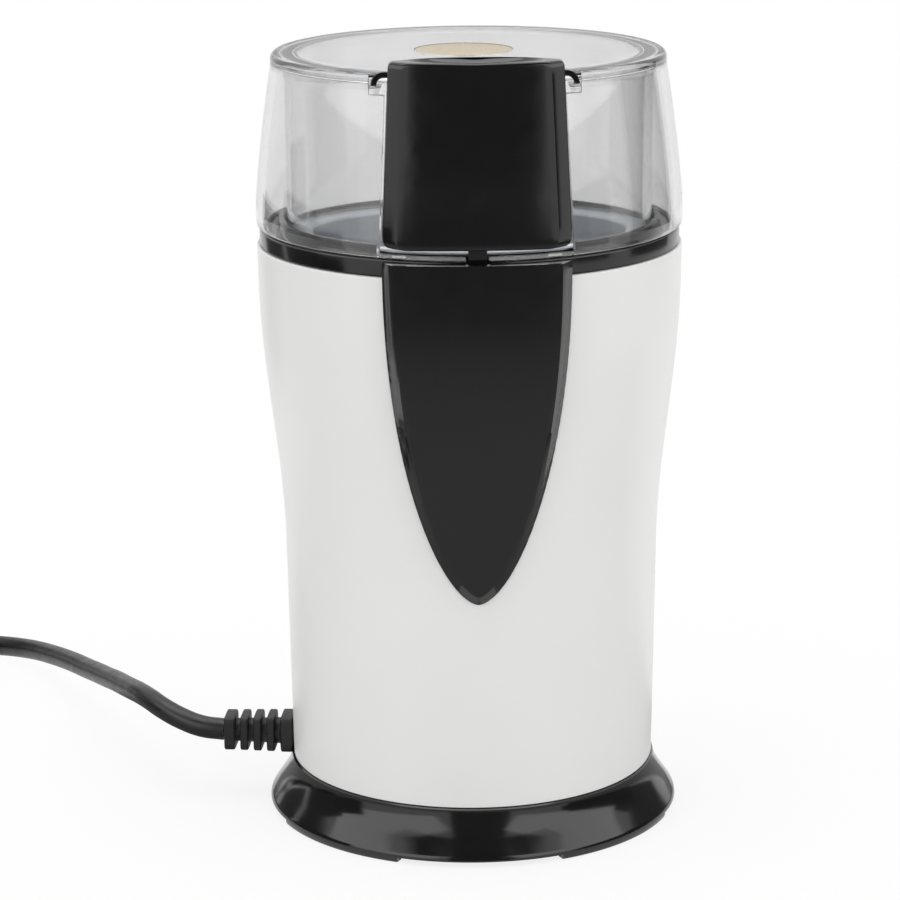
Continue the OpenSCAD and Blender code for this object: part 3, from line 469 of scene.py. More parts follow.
def smoked_styrene(tint):
    """Clear styrene with a light smoke, greyer along a wall, and a tint in the outer wall."""
    material, tree, shader, place = start_material("smoked_transparent_styrene")
    haze, relief = tones(tree, place, 18, grey(0.015), grey(0.04), 3)
    tone, _ = tones(tree, place, 40, shade(tint, 0.98), shade(tint, 1.0))
    flat = add_node(tree, "ShaderNodeVectorMath", {"operation": "MULTIPLY", 1: (1, 1, 0)}, {0: place})
    radius = add_node(tree, "ShaderNodeVectorMath", {"operation": "LENGTH"}, {0: flat.outputs["Vector"]})
    outer = add_node(tree, "ShaderNodeMapRange",
                     {"From Min": SKIRT_RADIUS * MM, "From Max": (SKIRT_RADIUS + 0.8) * MM},
                     {"Value": radius.outputs["Value"]})
    layer = add_node(tree, "ShaderNodeMix", {"data_type": "RGBA", 6: grey(1.0)},
                     {0: outer.outputs["Result"], 7: tone})
    cover(tree, shader, layer.outputs[2], haze, relief, 0.02, 0.4)
    shader.inputs["Transmission Weight"].default_value = 1.0
    shader.inputs["IOR"].default_value = 1.52
    smoke = add_node(tree, "ShaderNodeVolumeAbsorption", {"Color": grey(0.5), "Density": 25})
    tree.links.new(smoke.outputs["Volume"], tree.nodes["Material Output"].inputs["Volume"])
    return material


def turned_metal(name, base, rough):
    """Metal with concentric brushing 0.3 mm apart: highlights spread across the rings."""
    material, tree, shader, place = start_material(name)
    parts = add_node(tree, "ShaderNodeSeparateXYZ", None, {"Vector": place})
    flat = add_node(tree, "ShaderNodeCombineXYZ", None,
                    {"X": parts.outputs["X"], "Y": parts.outputs["Y"]})
    radius = add_node(tree, "ShaderNodeVectorMath", {"operation": "LENGTH"}, {0: flat.outputs["Vector"]})
    rings = add_node(tree, "ShaderNodeCombineXYZ", None,
                     {"X": radius.outputs["Value"], "Y": parts.outputs["Z"]})
    gloss, line = tones(tree, rings.outputs["Vector"], 0.3, grey(rough[0]), grey(rough[1]), 2)
    tone, _ = tones(tree, rings.outputs["Vector"], 0.5, shade(base, 0.94), shade(base, 1.04), 2, offset=5)
    cover(tree, shader, tone, gloss, line, 0.002)
    shader.inputs["Metallic"].default_value = 1.0
    return material


def make_materials(colours):
    """All finishes of the grinder by their slot name."""
    return {
        # Injection-moulded ABS from a polished mould: nearly white, soft broad highlights
        "shell_white": solid_finish("white_moulded_ABS", colours.housing, tone=(0.012, 30),
                                    rough=(0.3, 0.36, 12), grain=(0.8, 0.002), IOR=1.53),
        # The same plastic in black from a mirror-polished mould: deep black, sharp reflections
        "gloss_black": solid_finish("mirror_polished_black_ABS", colours.trim, tone=(0.1, 14),
                                    rough=(0.09, 0.16, 5), grain=(2.2, 0.0025), IOR=1.54),
        # Black ABS from a spark-eroded mould: fine even grain that breaks highlights up
        "satin_black": solid_finish("spark_eroded_black_ABS", "#151516", tone=(0.15, 6),
                                    rough=(0.36, 0.5, 2), grain=(0.35, 0.02), IOR=1.53),
        # Black ABS from a lapped mould, a little duller than the ring: dark with short reflections
        "collar_black": solid_finish("lapped_black_ABS", "#0D0D0E", tone=(0.12, 10),
                                     rough=(0.12, 0.18, 4), grain=(1.8, 0.003), IOR=1.53),
        # Injection-moulded styrene: clear, with grey edges
        "smoke_clear": smoked_styrene(colours.lid),
        # Anodised aluminium faced on a lathe: pale gold with fine rings
        "pale_gold": turned_metal("anodised_aluminium_disc", colours.disc, (0.24, 0.34)),
        # Drawn and brushed stainless steel: cool grey with dull rings
        "bowl_steel": turned_metal("drawn_stainless_steel", "#BFC4CA", (0.48, 0.6)),
        # Spring steel ground flat along its length: fine straight scratches
        "blade_steel": solid_finish("ground_spring_steel", "#BFC1C2", tone=(0.08, 5),
                                    rough=(0.16, 0.32, 0.5), grain=(0.12, 0.003),
                                    stretch=(0.06, 1, 1), Metallic=1.0),
        # Bright zinc: a light bluish metal with faint cloudiness
        "bright_steel": solid_finish("zinc_plated_steel", "#B8BCC0", tone=(0.08, 1.5),
                                     rough=(0.2, 0.34, 0.6), grain=(0.2, 0.002), Metallic=1.0),
        # Shaft ground between centres: clean grey steel with rings too fine to see
        "shaft_steel": solid_finish("ground_shaft_steel", "#A6A8AA", tone=(0.06, 2),
                                    rough=(0.18, 0.28, 0.6), grain=(0.1, 0.002),
                                    stretch=(1, 1, 6), Metallic=1.0),
        # Stacked sheets of electrical steel, 0.5 mm each: dark stripes round the stack
        "lamination": solid_finish("stacked_electrical_steel", "#5C6066", tone=(0.25, 0.5),
                                   rough=(0.34, 0.5, 0.5), grain=(0.5, 0.03),
                                   stretch=(0.02, 0.02, 1), Metallic=1.0),
        # Enamelled wire, 0.4 mm thick: orange copper with a varnish shine
        "copper": solid_finish("enamelled_copper_wire", "#A6592B", tone=(0.3, 0.4),
                               rough=(0.24, 0.4, 0.4), grain=(0.4, 0.05),
                               stretch=(0.1, 0.1, 1), Metallic=1.0, Coat_Weight=0.3),
        # Stamped brass with a dull rolled surface
        "brass_part": solid_finish("rolled_brass", "#B08D4A", tone=(0.1, 2),
                                   rough=(0.26, 0.4, 1), grain=(0.3, 0.004),
                                   stretch=(0.2, 1, 1), Metallic=1.0),
        # Sintered bronze soaked in oil: brown, slightly porous
        "bronze": solid_finish("sintered_bronze", "#8A6A43", tone=(0.2, 0.6),
                               rough=(0.3, 0.5, 0.5), grain=(0.25, 0.02), Metallic=1.0),
        # Pressed carbon: matt black with a graphite glint
        "carbon": solid_finish("pressed_carbon", "#1B1B1C", tone=(0.25, 0.8),
                               rough=(0.5, 0.66, 0.5), grain=(0.2, 0.01)),
        # Moulded black rubber: soft dark grey sheen, no sharp highlights
        "rubber_black": solid_finish("moulded_black_rubber", "#161616", tone=(0.12, 3),
                                     rough=(0.46, 0.6, 1.2), grain=(0.3, 0.012), IOR=1.52),
        # Moulded silicone: mid grey and dull
        "rubber_grey": solid_finish("grey_silicone", "#4A4A4C", tone=(0.08, 3),
                                    rough=(0.45, 0.6, 1.2), grain=(0.3, 0.01), IOR=1.43),
        # Glass-filled nylon: charcoal with pale fibre specks
        "bracket_black": solid_finish("glass_filled_nylon", "#222325", tone=(0.3, 0.7),
                                      rough=(0.45, 0.6, 0.7), grain=(0.3, 0.02), IOR=1.55),
        # Unpigmented nylon: milky, a little yellow
        "fan_white": solid_finish("natural_nylon", "#D8D5C8", tone=(0.03, 4),
                                  rough=(0.34, 0.44, 2), grain=(0.5, 0.006), IOR=1.53),
        # Moulded acetal: clean white with a waxy shine
        "rod_white": solid_finish("white_acetal", "#DADADA", tone=(0.02, 4),
                                  rough=(0.26, 0.36, 2), grain=(0.5, 0.004), IOR=1.48),
        # Moulded nylon coloured through: even red with a soft shine
        "button_red": solid_finish("red_moulded_nylon", "#9C2A22", tone=(0.06, 1),
                                   rough=(0.3, 0.4, 1), grain=(0.3, 0.004), IOR=1.53),
        # Extruded silicone sleeve: brown and dull
        "wire_brown": solid_finish("silicone_wire_sleeve", "#5A3320", tone=(0.1, 1),
                                   rough=(0.4, 0.5, 1), grain=(0.3, 0.006), IOR=1.43),
        # Extruded PVC sheath: black and satin
        "cord_black": solid_finish("extruded_PVC_sheath", colours.lead, tone=(0.12, 4),
                                   rough=(0.32, 0.44, 2), grain=(0.5, 0.01), IOR=1.53),
        # PVC overmoulding of the plug: fine leather-like grain
        "plug_black": solid_finish("grained_PVC_overmoulding", "#141415", tone=(0.12, 3),
                                   rough=(0.42, 0.55, 1.5), grain=(0.5, 0.03), IOR=1.53),
        # Nickel-plated brass: bright, with a slightly warm tone
        "pin_plated": solid_finish("nickel_plated_brass", "#C6C4BC", tone=(0.05, 1.5),
                                   rough=(0.14, 0.24, 1), grain=(0.3, 0.002), Metallic=1.0),
    }


# ---------------------------------------------------------------- shared forms


def ease(t):
    """Half a cosine wave from 0 to 1."""
    return 0.5 - 0.5 * math.cos(math.pi * min(max(t, 0), 1))


def shell_radius(sizes, z):
    """Outer radius of the housing at a height, in millimetres."""
    waist, flare_height = 66, 64
    return (sizes.housing_radius / MM + 0.016 * (z - HOUSING_FOOT)
            + sizes.housing_flare / MM * ease((z - waist) / flare_height))


def lid_radius(sizes, z):
    """Outer radius of the lid's side wall at a height, in millimetres."""
    return sizes.lid_radius / MM - 4.05 * (max(z - LID_BELLY, 0) / 34) ** 1.35


def bar_half(sizes, z):
    """Half the width of the press bar at a height, in millimetres."""
    foot, head = sizes.bar_half_foot / MM, sizes.bar_half_top / MM
    return foot - (foot - head) * (z - BAR_FOOT) / (sizes.bar_top / MM - BAR_FOOT)


def bar_front(sizes, z):
    """How far the press bar's face stands in front of the axis at a height, in millimetres."""
    return 52.2 - 1.0 * (max(z - BAR_FOOT, 0) / (sizes.bar_top / MM - BAR_FOOT)) ** 1.5


def pin_slot(low, high, rear=-44):
    """Tool for the slot of the interlock pin."""
    return block((-SLOT_HALF, -60, low), (SLOT_HALF, rear, high))


# ---------------------------------------------------------------- camera and lead


class GRINDER_OT_camera(bpy.types.Operator):
    """Adds the camera"""

    bl_idname = "grinder.camera"
    bl_label = "Camera"

    def execute(self, context):
        data = bpy.data.cameras.new("view_camera")
        data.lens, data.sensor_width = 129.476, 36
        camera = bpy.data.objects.new("view_camera", data)
        camera.location = (-0.027566, -0.751765, 0.28046)
        camera.rotation_euler = Euler([math.radians(a) for a in (75.6012, 0.4329, -1.833)])
        context.scene.collection.objects.link(camera)
        context.scene.camera = camera
        context.scene.view_settings.view_transform = "Standard"
        return {"FINISHED"}


def coil_point(turn):
    """Point of the lead's coil after a number of turns: out, in, up and out again."""
    moves = [  # first turn, last turn, column before and after, layer before and after
        (0.89, 0.99, 1, 0, 0, 0), (1.75, 1.87, 0, 0, 0, 1), (2.62, 2.74, 0, 1, 1, 1),
    ]
    column, layer = 1.0, 0.0
    for start, end, column_a, column_b, layer_a, layer_b in moves:
        if turn > start:
            t = ease((turn - start) / (end - start))
            column = column_a + (column_b - column_a) * t
            layer = layer_a + (layer_b - layer_a) * t
    angle = math.tau * (0.25 + turn)
    radius = COIL_RADII[0] + (COIL_RADII[1] - COIL_RADII[0]) * column
    return (COIL_CENTRE[0] + radius * math.cos(angle), COIL_CENTRE[1] + radius * math.sin(angle),
            COIL_HEIGHTS[0] + (COIL_HEIGHTS[1] - COIL_HEIGHTS[0]) * layer)


def lead_curve(sizes):
    """The lead as one curve, and its length in metres."""
    coil = [coil_point(k / COIL_POINTS) for k in range(round(COIL_TURNS * COIL_POINTS) + 1)]
    route = [Vector(p) * MM for p in LEAD_ROUTE + coil + TAIL_ROUTE]
    data = bpy.data.curves.new("mains_lead", "CURVE")
    data.dimensions = "3D"
    data.bevel_depth, data.bevel_resolution, data.use_fill_caps = sizes.lead_diameter / 2, 6, True
    data.resolution_u = 6
    spline = data.splines.new("BEZIER")
    spline.bezier_points.add(len(route) - 1)
    for point, here in zip(spline.bezier_points, route):
        point.co = here
        point.handle_left_type = point.handle_right_type = "AUTO"
    lead = bpy.data.objects.new("mains_lead", data)
    bpy.context.scene.collection.objects.link(lead)
    return lead, round(spline.calc_length(), 3)


def lead_boot():
    """Ribbed boot with a flange inside the housing."""
    stations = [  # distance from the root, half size, squareness
        (-5, 5.6, 2), (-4.8, 5.9, 2), (-2.9, 5.9, 2), (-2.7, 5.6, 2), (-2.7, 3.9, 2),
        (0.1, 3.9, 2), (0.1, 4.25, 7), (0.35, 4.5, 7), (2.85, 4.5, 7), (3.1, 4.25, 7),
    ]
    for k in range(4):
        start, half, core = 4.65 + 3.28 * k, 4.4 - 0.06 * k, 3.2 - 0.12 * k
        end = start + (1.9 if k < 3 else 2.6)
        stations += [(start - 1.2, core, 2), (start, core, 2), (start, half - 0.25, 7),
                     (start + 0.25, half, 7), (end - 0.25, half, 7), (end, half - 0.25, 7)]
    stations += [(17.2, 2.9, 2)]
    turn = rotation(BOOT_ANGLE)
    return lofted("lead_boot", [
        [tuple(turn @ Vector((BOOT_ROOT + along, y, 0)) + Vector((0, 0, LEAD_Z + z)))
         for y, z in superellipse(half, half, power, 48)]
        for along, half, power in stations
    ])


def lead_tie(sizes):
    """Flat rubber band round the coil's bundle."""
    half = sizes.lead_diameter / MM
    rings = []
    angle = math.radians(-90)
    middle = sum(COIL_RADII) / 2
    for across, grow in ((-3, 0.12), (-2.8, 0.55), (2.8, 0.55), (3, 0.12), (2.9, 0.03), (-2.9, 0.03)):
        ring = []
        for out, up in superellipse(half + grow, half + grow, 5, 48):
            radius = middle + out
            ring.append((
                COIL_CENTRE[0] + radius * math.cos(angle) - across * math.sin(angle),
                COIL_CENTRE[1] + radius * math.sin(angle) + across * math.cos(angle),
                sum(COIL_HEIGHTS) / 2 + up,
            ))
        rings.append(ring)
    return lofted("lead_tie", rings, closed=True)


def flat_plug():
    """Flat two-pin plug with a ribbed tail."""
    stations = [(0, 2.9, 2.9, 2), (0.3, 3.3, 3.3, 2)]  # distance, half width, half height, squareness
    for k in range(5):
        start, half = 2.2 + 3.4 * k, 3.7 + 0.28 * k
        for step, inset in ((0, 0.6), (0, 0.1), (0.2, 0), (1.9, 0), (2.1, 0.1), (2.1, 0.6)):
            stations.append((start + step, half - inset, half - inset, 2))
    stations += [(19.6, 4.6, 4.6, 2), (20, 5.4, 4.9, 2.2), (20.6, 6.6, 5.3, 2.6), (23, 8.2, 5.7, 3),
                 (28, 10.9, 6.1, 3.6), (34, 14, 6.5, 4.2), (40, 16.1, 6.7, 5), (44, 16.7, 6.8, 5.5),
                 (55, 17, 6.8, 6), (55.7, 16.8, 6.6, 6), (56, 16.3, 6.1, 6), (56, 15.2, 5.2, 6),
                 (55.6, 15, 5, 6)]
    return lofted("flat_plug", [
        [(PLUG[0] + x, PLUG[1] - along, PLUG[2] + z) for x, z in superellipse(wide, high, power, 64)]
        for along, wide, high, power in stations
    ])


def plug_pins():
    """Two round pins with domed tips."""
    profile = rounded([(0, -1, 0), (2, -1, 0.3), (2, 19, 1.2), (0, 19, 0)], 8)
    pins = []
    for side in (-1, 1):
        pin = turned("plug_pin", profile, 32)
        place = Vector((PLUG[0] + side * PLUG_PIN_SIDE, PLUG[1] - PLUG_LENGTH, PLUG[2])) * MM
        pin.data.transform(Matrix.Translation(place) @ rotation(90, "X"))
        pins.append(pin)
    return join(*pins)


class GRINDER_OT_lead(bpy.types.Operator):
    """Adds the mains lead with its coil, boot, tie and plug"""

    bl_idname = "grinder.lead"
    bl_label = "Mains lead"

    def execute(self, context):
        sizes = context.scene.grinder_sizes
        boot = finish(lead_boot(), "body", "rubber_black", ["strain_relief"])
        tie = finish(lead_tie(sizes), "body", "rubber_black", ["cord_tie"])
        plug = finish(flat_plug(), "body", "plug_black", ["plug_body"])
        pins = finish(plug_pins(), "body", "pin_plated", ["plug_pins"])
        lead, total = lead_curve(sizes)
        finish(lead, "body", "cord_black", ["cord_lead", "cord_coil", "cord_tail"])
        return {"FINISHED"}


# ---------------------------------------------------------------- body


class GRINDER_OT_housing(bpy.types.Operator):
    """Adds the white housing"""

    bl_idname = "grinder.housing"
    bl_label = "Housing"

    def execute(self, context):
        sizes = context.scene.grinder_sizes
        foot = sizes.housing_radius / MM - 1.4
        wall, top = 2.2, 138.7
        heights = [14 + (138 - 14) * k / 62 for k in range(63)]
        corners = [(foot - 1.8, 8, 0.3), (foot, 8, 0.5), (foot, HOUSING_FOOT, 0),
                   (shell_radius(sizes, HOUSING_FOOT), HOUSING_FOOT, 0.25)]
        corners += [(shell_radius(sizes, z), z, 0) for z in heights]
        corners += [(shell_radius(sizes, top), top, 0.5), (shell_radius(sizes, top) - wall, top, 0.3)]
        corners += [(shell_radius(sizes, z) - wall, z, 0) for z in reversed(heights[::2])]
        housing = turned("housing", rounded(corners))
        opening = arc((0, 0), 4.15, 0, 180, 24) + [(-4.15, -8), (4.15, -8)]
        neck = lofted("cutter", [[(x, y, LEAD_Z + z) for y, z in opening] for x in (38, 48)])
        neck.data.transform(rotation(BOOT_ANGLE))
        combine(housing, [pin_slot(109.6, 150), neck])
        finish(housing, "body", "shell_white", ["body_shell"])
        return {"FINISHED"}


class GRINDER_OT_base(bpy.types.Operator):
    """Adds the black base ring"""

    bl_idname = "grinder.base"
    bl_label = "Base ring"

    def execute(self, context):
        outer = context.scene.grinder_sizes.base_radius / MM
        edge_radius = 2.4
        edge = (outer - 0.4 - edge_radius, 1.2)
        start, turn, end = ((outer - drop, z) for drop, z in ((2.9, 5.5), (5.48, 9.14), (5.85, 12.05)))
        corners = [(41, 0.3, 0.2), (42.8, 0.3, 0.2), (42.8, 6.6, 0.3), (43.6, 6.4, 0.3), (45, 5, 0.3),
                   (47, 2.2, 0.3), (47.7, 0.9, 0.3), (47.7, 0.12, 0.2)]
        corners += [(x, y, 0) for x, y in arc(edge, edge_radius, -26, 35.4, 16)]
        corners += [(*bend(start, turn, end, k / 16), 0) for k in range(17)]
        corners += [(43.8, 12.35, 0.2), (42.45, 12.35, 0.2), (42.45, 7.8, 0), (41, 7.8, 0.2)]
        ring = turned("base_skirt", rounded(corners))
        # The foot is cut back between four pads
        half = math.tan(math.radians(23))
        tools = []
        for k in range(4):
            wedge = prism([(44, -44 * half), (60, -60 * half), (60, 60 * half), (44, 44 * half)], -1, 1.3)
            wedge.data.transform(rotation(90 * k))
            tools.append(wedge)
        notch = block((40.9, -4.9, LEAD_Z - 4.8), (52, 4.9, 20))
        notch.data.transform(rotation(BOOT_ANGLE))
        combine(ring, [*tools, notch])
        finish(ring, "body", "gloss_black", ["base_ring"])
        return {"FINISHED"}


class GRINDER_OT_front_panel(bpy.types.Operator):
    """Adds the black front panel"""

    bl_idname = "grinder.front_panel"
    bl_label = "Front panel"

    def execute(self, context):
        sizes = context.scene.grinder_sizes
        tip, half = sizes.panel_tip / MM, sizes.panel_half / MM
        tall = PANEL_TOP - tip
        bevel, edge = 2.3, 0.45
        rows, columns = 84, 44

        def outline_half(z):
            return half * max(1 - ((PANEL_TOP - z) / tall) ** 2.1, 0) ** 0.6

        rim = [(outline_half(z), z) for z in (tip + tall * (k / 150) ** 2 for k in range(151))]
        rim += [(half, PANEL_TOP + 1 + k) for k in range(6)]

        def back(x, z):
            """Distance of the panel's back in front of the axis."""
            near = shell_radius(sizes, z) + PANEL_GAP
            return math.sqrt(near * near - x * x)

        def face(x, z):
            """Distance of the panel's face in front of the axis, which rises from its outline."""
            reach = min(min(math.hypot(abs(x) - rx, z - rz) for rx, rz in rim) / bevel, 1)
            soft = reach - max(reach - 0.9, 0) ** 2 / 0.4
            side = back(x, z)
            flat = shell_radius(sizes, z) + sizes.panel_proud / MM - x * x / 220
            return side + edge + (flat - side - edge) * min(soft / 0.975, 1)

        rings = []
        for j in range(rows + 1):
            z = tip + tall * (j / rows) ** 1.7
            wide = max(outline_half(z), 0.05)
            # Columns stand closer together near the sides
            across = [math.sin(math.pi / 2 * (2 * i / columns - 1)) * wide for i in range(columns + 1)]
            across = [0.5 * a + 0.5 * wide * (2 * i / columns - 1) for i, a in enumerate(across)]
            rings.append([(x, -face(x, z), z) for x in across]
                         + [(x, -back(x, z), z) for x in reversed(across)])
        panel = lofted("front_shield", rings)
        # Channel behind the face for the push rod
        combine(panel, [block((-2.5, -49.85, 118), (2.5, -40, 141))])
        finish(panel, "body", "gloss_black", ["front_panel"], 24)
        return {"FINISHED"}


class GRINDER_OT_collar(bpy.types.Operator):
    """Adds the black collar"""

    bl_idname = "grinder.collar"
    bl_label = "Collar"

    def execute(self, context):
        corners = [
            (45.6, 131, 0.3), (47.4, 131, 0.3), (47.4, 138.9, 0), (49.4, 138.9, 0.25),
            (49.4, COLLAR_TOP, 0.7), (44.9, COLLAR_TOP, 0.3), (44.9, 145.3, 0.4), (43.5, 145.3, 0.4),
            (43.5, COLLAR_TOP, 0.3), (38.9, COLLAR_TOP, 0.4), (38.9, 141.8, 0.2), (37.6, 141.8, 0.2),
            (37.6, 140.4, 0.2), (38.9, 140.4, 0.2), (38.9, 134, 0.3), (40.7, 134, 0.3),
            (40.7, 141, 0.3), (45.6, 141, 0.3),
        ]
        collar = turned("collar_ring", rounded(corners))
        # The lip ends on both sides of the press bar
        combine(collar, [pin_slot(120, 150), block((-21.9, -60, COLLAR_TOP + 0.02), (21.9, -30, 150))])
        finish(collar, "body", "satin_black", ["top_collar"], material="collar_black")
        return {"FINISHED"}


class GRINDER_OT_bowl(bpy.types.Operator):
    """Adds the steel bowl"""

    bl_idname = "grinder.bowl"
    bl_label = "Bowl"

    def execute(self, context):
        radius = context.scene.grinder_sizes.bowl_radius / MM
        floor, wall, hole = 112.95, 0.8, 6.6
        low, high, flange = 143.03, 143.45, 43
        corners = [(hole, floor - wall, 0.1), (radius, floor - wall, 9), (radius, low, 0.4),
                   (flange, low, 0.15), (flange, high, 0.15),
                   (radius - wall, high, 1.0), (radius - wall, floor, 8.2), (hole, floor, 0.1)]
        finish(turned("steel_bowl", rounded(corners, 18)), "body", "bowl_steel", ["grinding_bowl"])
        return {"FINISHED"}


class GRINDER_OT_blade(bpy.types.Operator):
    """Adds the twisted blade and its nut"""

    bl_idname = "grinder.blade"
    bl_label = "Blade"

    def execute(self, context):
        half = context.scene.grinder_sizes.blade_length / MM / 2
        thick, low, steps, twist = 0.8, 117.1, 110, 18
        rings = []
        for k in range(steps + 1):
            x = half - 2 * half * k / steps
            reach = max(abs(x) - 8, 0) / 21
            lift = 4 * reach ** 1.5 if x > 0 else -1.6 * reach ** 1.5
            pitch = math.copysign(math.radians(twist * ease((abs(x) - 6) / 8)), x)
            tip = math.sqrt(max(1 - max(abs(x) - half + 2.4, 0) ** 2 / 5.9, 0.02))
            wide = (5.2 - 1.6 * (x / half) ** 2) * tip
            section = [(-wide, 0.1), (-wide + 0.35, -thick), (-wide + 1.4, -thick), (wide - 0.6, -thick),
                       (wide - 0.05, -0.25), (wide, 0.1), (wide - 0.3, thick - 0.1), (wide - 0.8, thick),
                       (-wide + 2.2, thick)]
            middle = low + thick + lift
            rings.append([
                (x, y * math.cos(pitch) - z * math.sin(pitch),
                 middle + y * math.sin(pitch) + z * math.cos(pitch))
                for y, z in section
            ])
        blade = combine(lofted("blade_strip", rings), [prism(arc((0, 0), 2.45, 0, 337.5, 15), 100, 130)])
        finish(blade, "rotor", "blade_steel", ["grinding_blade"], 20)
        profile = rounded([(2.42, 118.75, 0), (5, 118.75, 0.3), (5, 121.4, 0.5), (4.2, 122.9, 1.4),
                           (2.6, 124.1, 1.6), (0, 124.15, 0), (0, 122, 0), (2.42, 122, 0)])
        finish(turned("blade_cap_nut", profile, 96), "rotor", "satin_black", ["blade_nut"])
        return {"FINISHED"}


# ---------------------------------------------------------------- lid


def lid_section(sizes):
    """Half-section of the lid: dome, top plate, inner wall."""
    top = sizes.lid_top / MM
    heights = [LID_BELLY + (LID_SHOULDER - 0.4 - LID_BELLY) * k / 30 for k in range(31)]
    wall, inside, foot_radius = 2.0, SKIRT_RADIUS - 1.8, lid_radius(sizes, 144)
    # The points at 38 and 42.6 keep the plate's shading flat up to its rounded corners
    corners = [(0, PLATE_UNDER, 0), (38, PLATE_UNDER, 0), (38.4, PLATE_UNDER, 0),
               (inside, PLATE_UNDER, 2.5), (inside, 143.8, 0.5), (SKIRT_RADIUS, 143.8, 0.5),
               (SKIRT_RADIUS, GAP_TOP, 0.5), (lid_radius(sizes, GAP_TOP) - wall, GAP_TOP, 0.8)]
    corners += [(lid_radius(sizes, z) - wall, z, 0) for z in reversed(heights[:-2:2])]
    corners += [(foot_radius - wall, LID_FOOT, 0.3), (foot_radius - 0.3, LID_FOOT, 0.5),
                (foot_radius, 144.6, 0)]
    corners += [(lid_radius(sizes, z), z, 0) for z in heights]
    corners += [(lid_radius(sizes, LID_SHOULDER) + 0.02, top, 2.6), (43, top, 0), (42.6, top, 0), (0, top, 0)]
    return rounded(corners, 10)


def cap_pocket(sizes):
    """Solid under the bar's cap, from which its recess is cut."""
    low, high = 177.8, 182.8
    under = prism(arc((0, CAP_CENTRE), CAP_RADIUS + 2.1, 57, 123, 40) + [(-22, -50), (22, -50)], low, high)
    within = [(0, 177), (lid_radius(sizes, 177) - 1, 177), (lid_radius(sizes, 180) - 1, 180),
              (44, high), (0, high)]
    return combine(under, [turned("cutter", within)], "INTERSECT")


def inner_post():
    """Solid inside the lid's inner wall."""
    reach = SKIRT_RADIUS + 0.02
    return turned("cutter", [(0, 130), (reach, 130), (reach, 200), (0, 200)], LID_FACETS)


def bar_space(sizes):
    """Tapered space of the press bar in front of the inner wall."""
    gap, high = 0.3, 195
    foot, head = bar_half(sizes, RECESS_FOOT) + gap, bar_half(sizes, high) + gap
    outline = [(-foot, RECESS_FOOT), (foot, RECESS_FOOT), (head, high), (-head, high)]
    wedge = lofted("cutter", [[(x, y, z) for x, z in outline] for y in (-70, -30)])
    return combine(wedge, [inner_post()])


def foot_space(left, right):
    """Space below the bar between two lugs, in front of the inner wall."""
    return combine(block((left, -60, 142), (right, -20, 144.6)), [inner_post()])


def cap_space():
    """Recess for the bar's cap in the top plate."""
    outline = arc((0, CAP_CENTRE), CAP_RADIUS + 0.5, 59.4, 120.6, 60)
    return prism(outline + [(-19.9, -60), (19.9, -60)], 179.4, 190)


def ear_window(side):
    """Window in which one of the bar's ears rides."""
    middle, half = side * EAR_CENTRE[0], 3.3
    return block((middle - half, -60, 178.8), (middle + half, -39, 190))


class GRINDER_OT_lid(bpy.types.Operator):
    """Adds the clear lid and its metal disc"""

    bl_idname = "grinder.lid"
    bl_label = "Lid"

    def execute(self, context):
        sizes = context.scene.grinder_sizes
        lid = turned("clear_lid", lid_section(sizes), LID_FACETS)
        combine(lid, [cap_pocket(sizes)], "UNION")
        combine(lid, [bar_space(sizes), cap_space(), pin_slot(142, 146, -47.1)])
        combine(lid, [ear_window(side) for side in (-1, 1)])
        combine(lid, [foot_space(*span) for span in ((-21.4, -18.9), (-15.8, 15.8), (18.9, 21.4))])
        # Shelf for the bar's spring on the inner wall
        combine(lid, [block((-8.5, -47.6, SHELF[0]), (8.5, -42, SHELF[1]))], "UNION")
        seat = [(DISC_SHIFT + x, y) for x, y in arc((0, 0), DISC_RADIUS + 0.12, 0, 356.25, 95)]
        combine(lid, [prism(seat, sizes.lid_top / MM - 0.7, 190)])
        finish(lid, "lid", "smoke_clear", ["lid_shell"], 22)
        lid.visible_shadow = False  # lamplight passes through the clear wall into the bowl
        top = sizes.lid_top / MM - 0.15
        profile = rounded([(0, top - 0.5, 0), (DISC_RADIUS, top - 0.5, 0), (DISC_RADIUS, top + 0.1, 0.12),
                           (0, top + 0.1, 0)])
        disc = turned("lid_centre_disc", profile, 128)
        disc.data.transform(Matrix.Translation((DISC_SHIFT * MM, 0, 0)))
        finish(disc, "lid", "pale_gold", ["lid_disc"])
        return {"FINISHED"}


# ---------------------------------------------------------------- press bar


def bar_face(sizes, z, inset=0.0, narrow=0.0):
    """Front outline from the left side to the right, with a bevel at each side, drawn in by an inset."""
    bevel, deep, soft = 3 - 0.4 * inset, 2.5 - 0.33 * inset, 0.3
    wide = bar_half(sizes, z) - inset - narrow
    flat = wide - bevel
    front = bar_front(sizes, z) - inset
    sag = flat * flat / BAR_CURVE
    step = Vector((bevel, deep)).normalized() * soft
    creases = [
        ((wide, deep + soft), (wide, deep), (wide - step.x, deep - step.y)),
        ((flat + step.x, step.y), (flat, 0), (flat - soft, -flat * soft * 2 / BAR_CURVE)),
    ]
    corner = []
    for crease in creases:
        for t in (0, 0.33, 0.67, 1):
            x, y = bend(*crease, t)
            corner.append((x, -front + sag + y))
    reach = flat - soft
    middle = [(reach * (1 - k / 12), -front + (reach * (1 - k / 12)) ** 2 / BAR_CURVE) for k in range(1, 12)]
    right = corner + middle + [(0, -front)]
    return [(-x, y) for x, y in right[:-1]] + right[::-1]


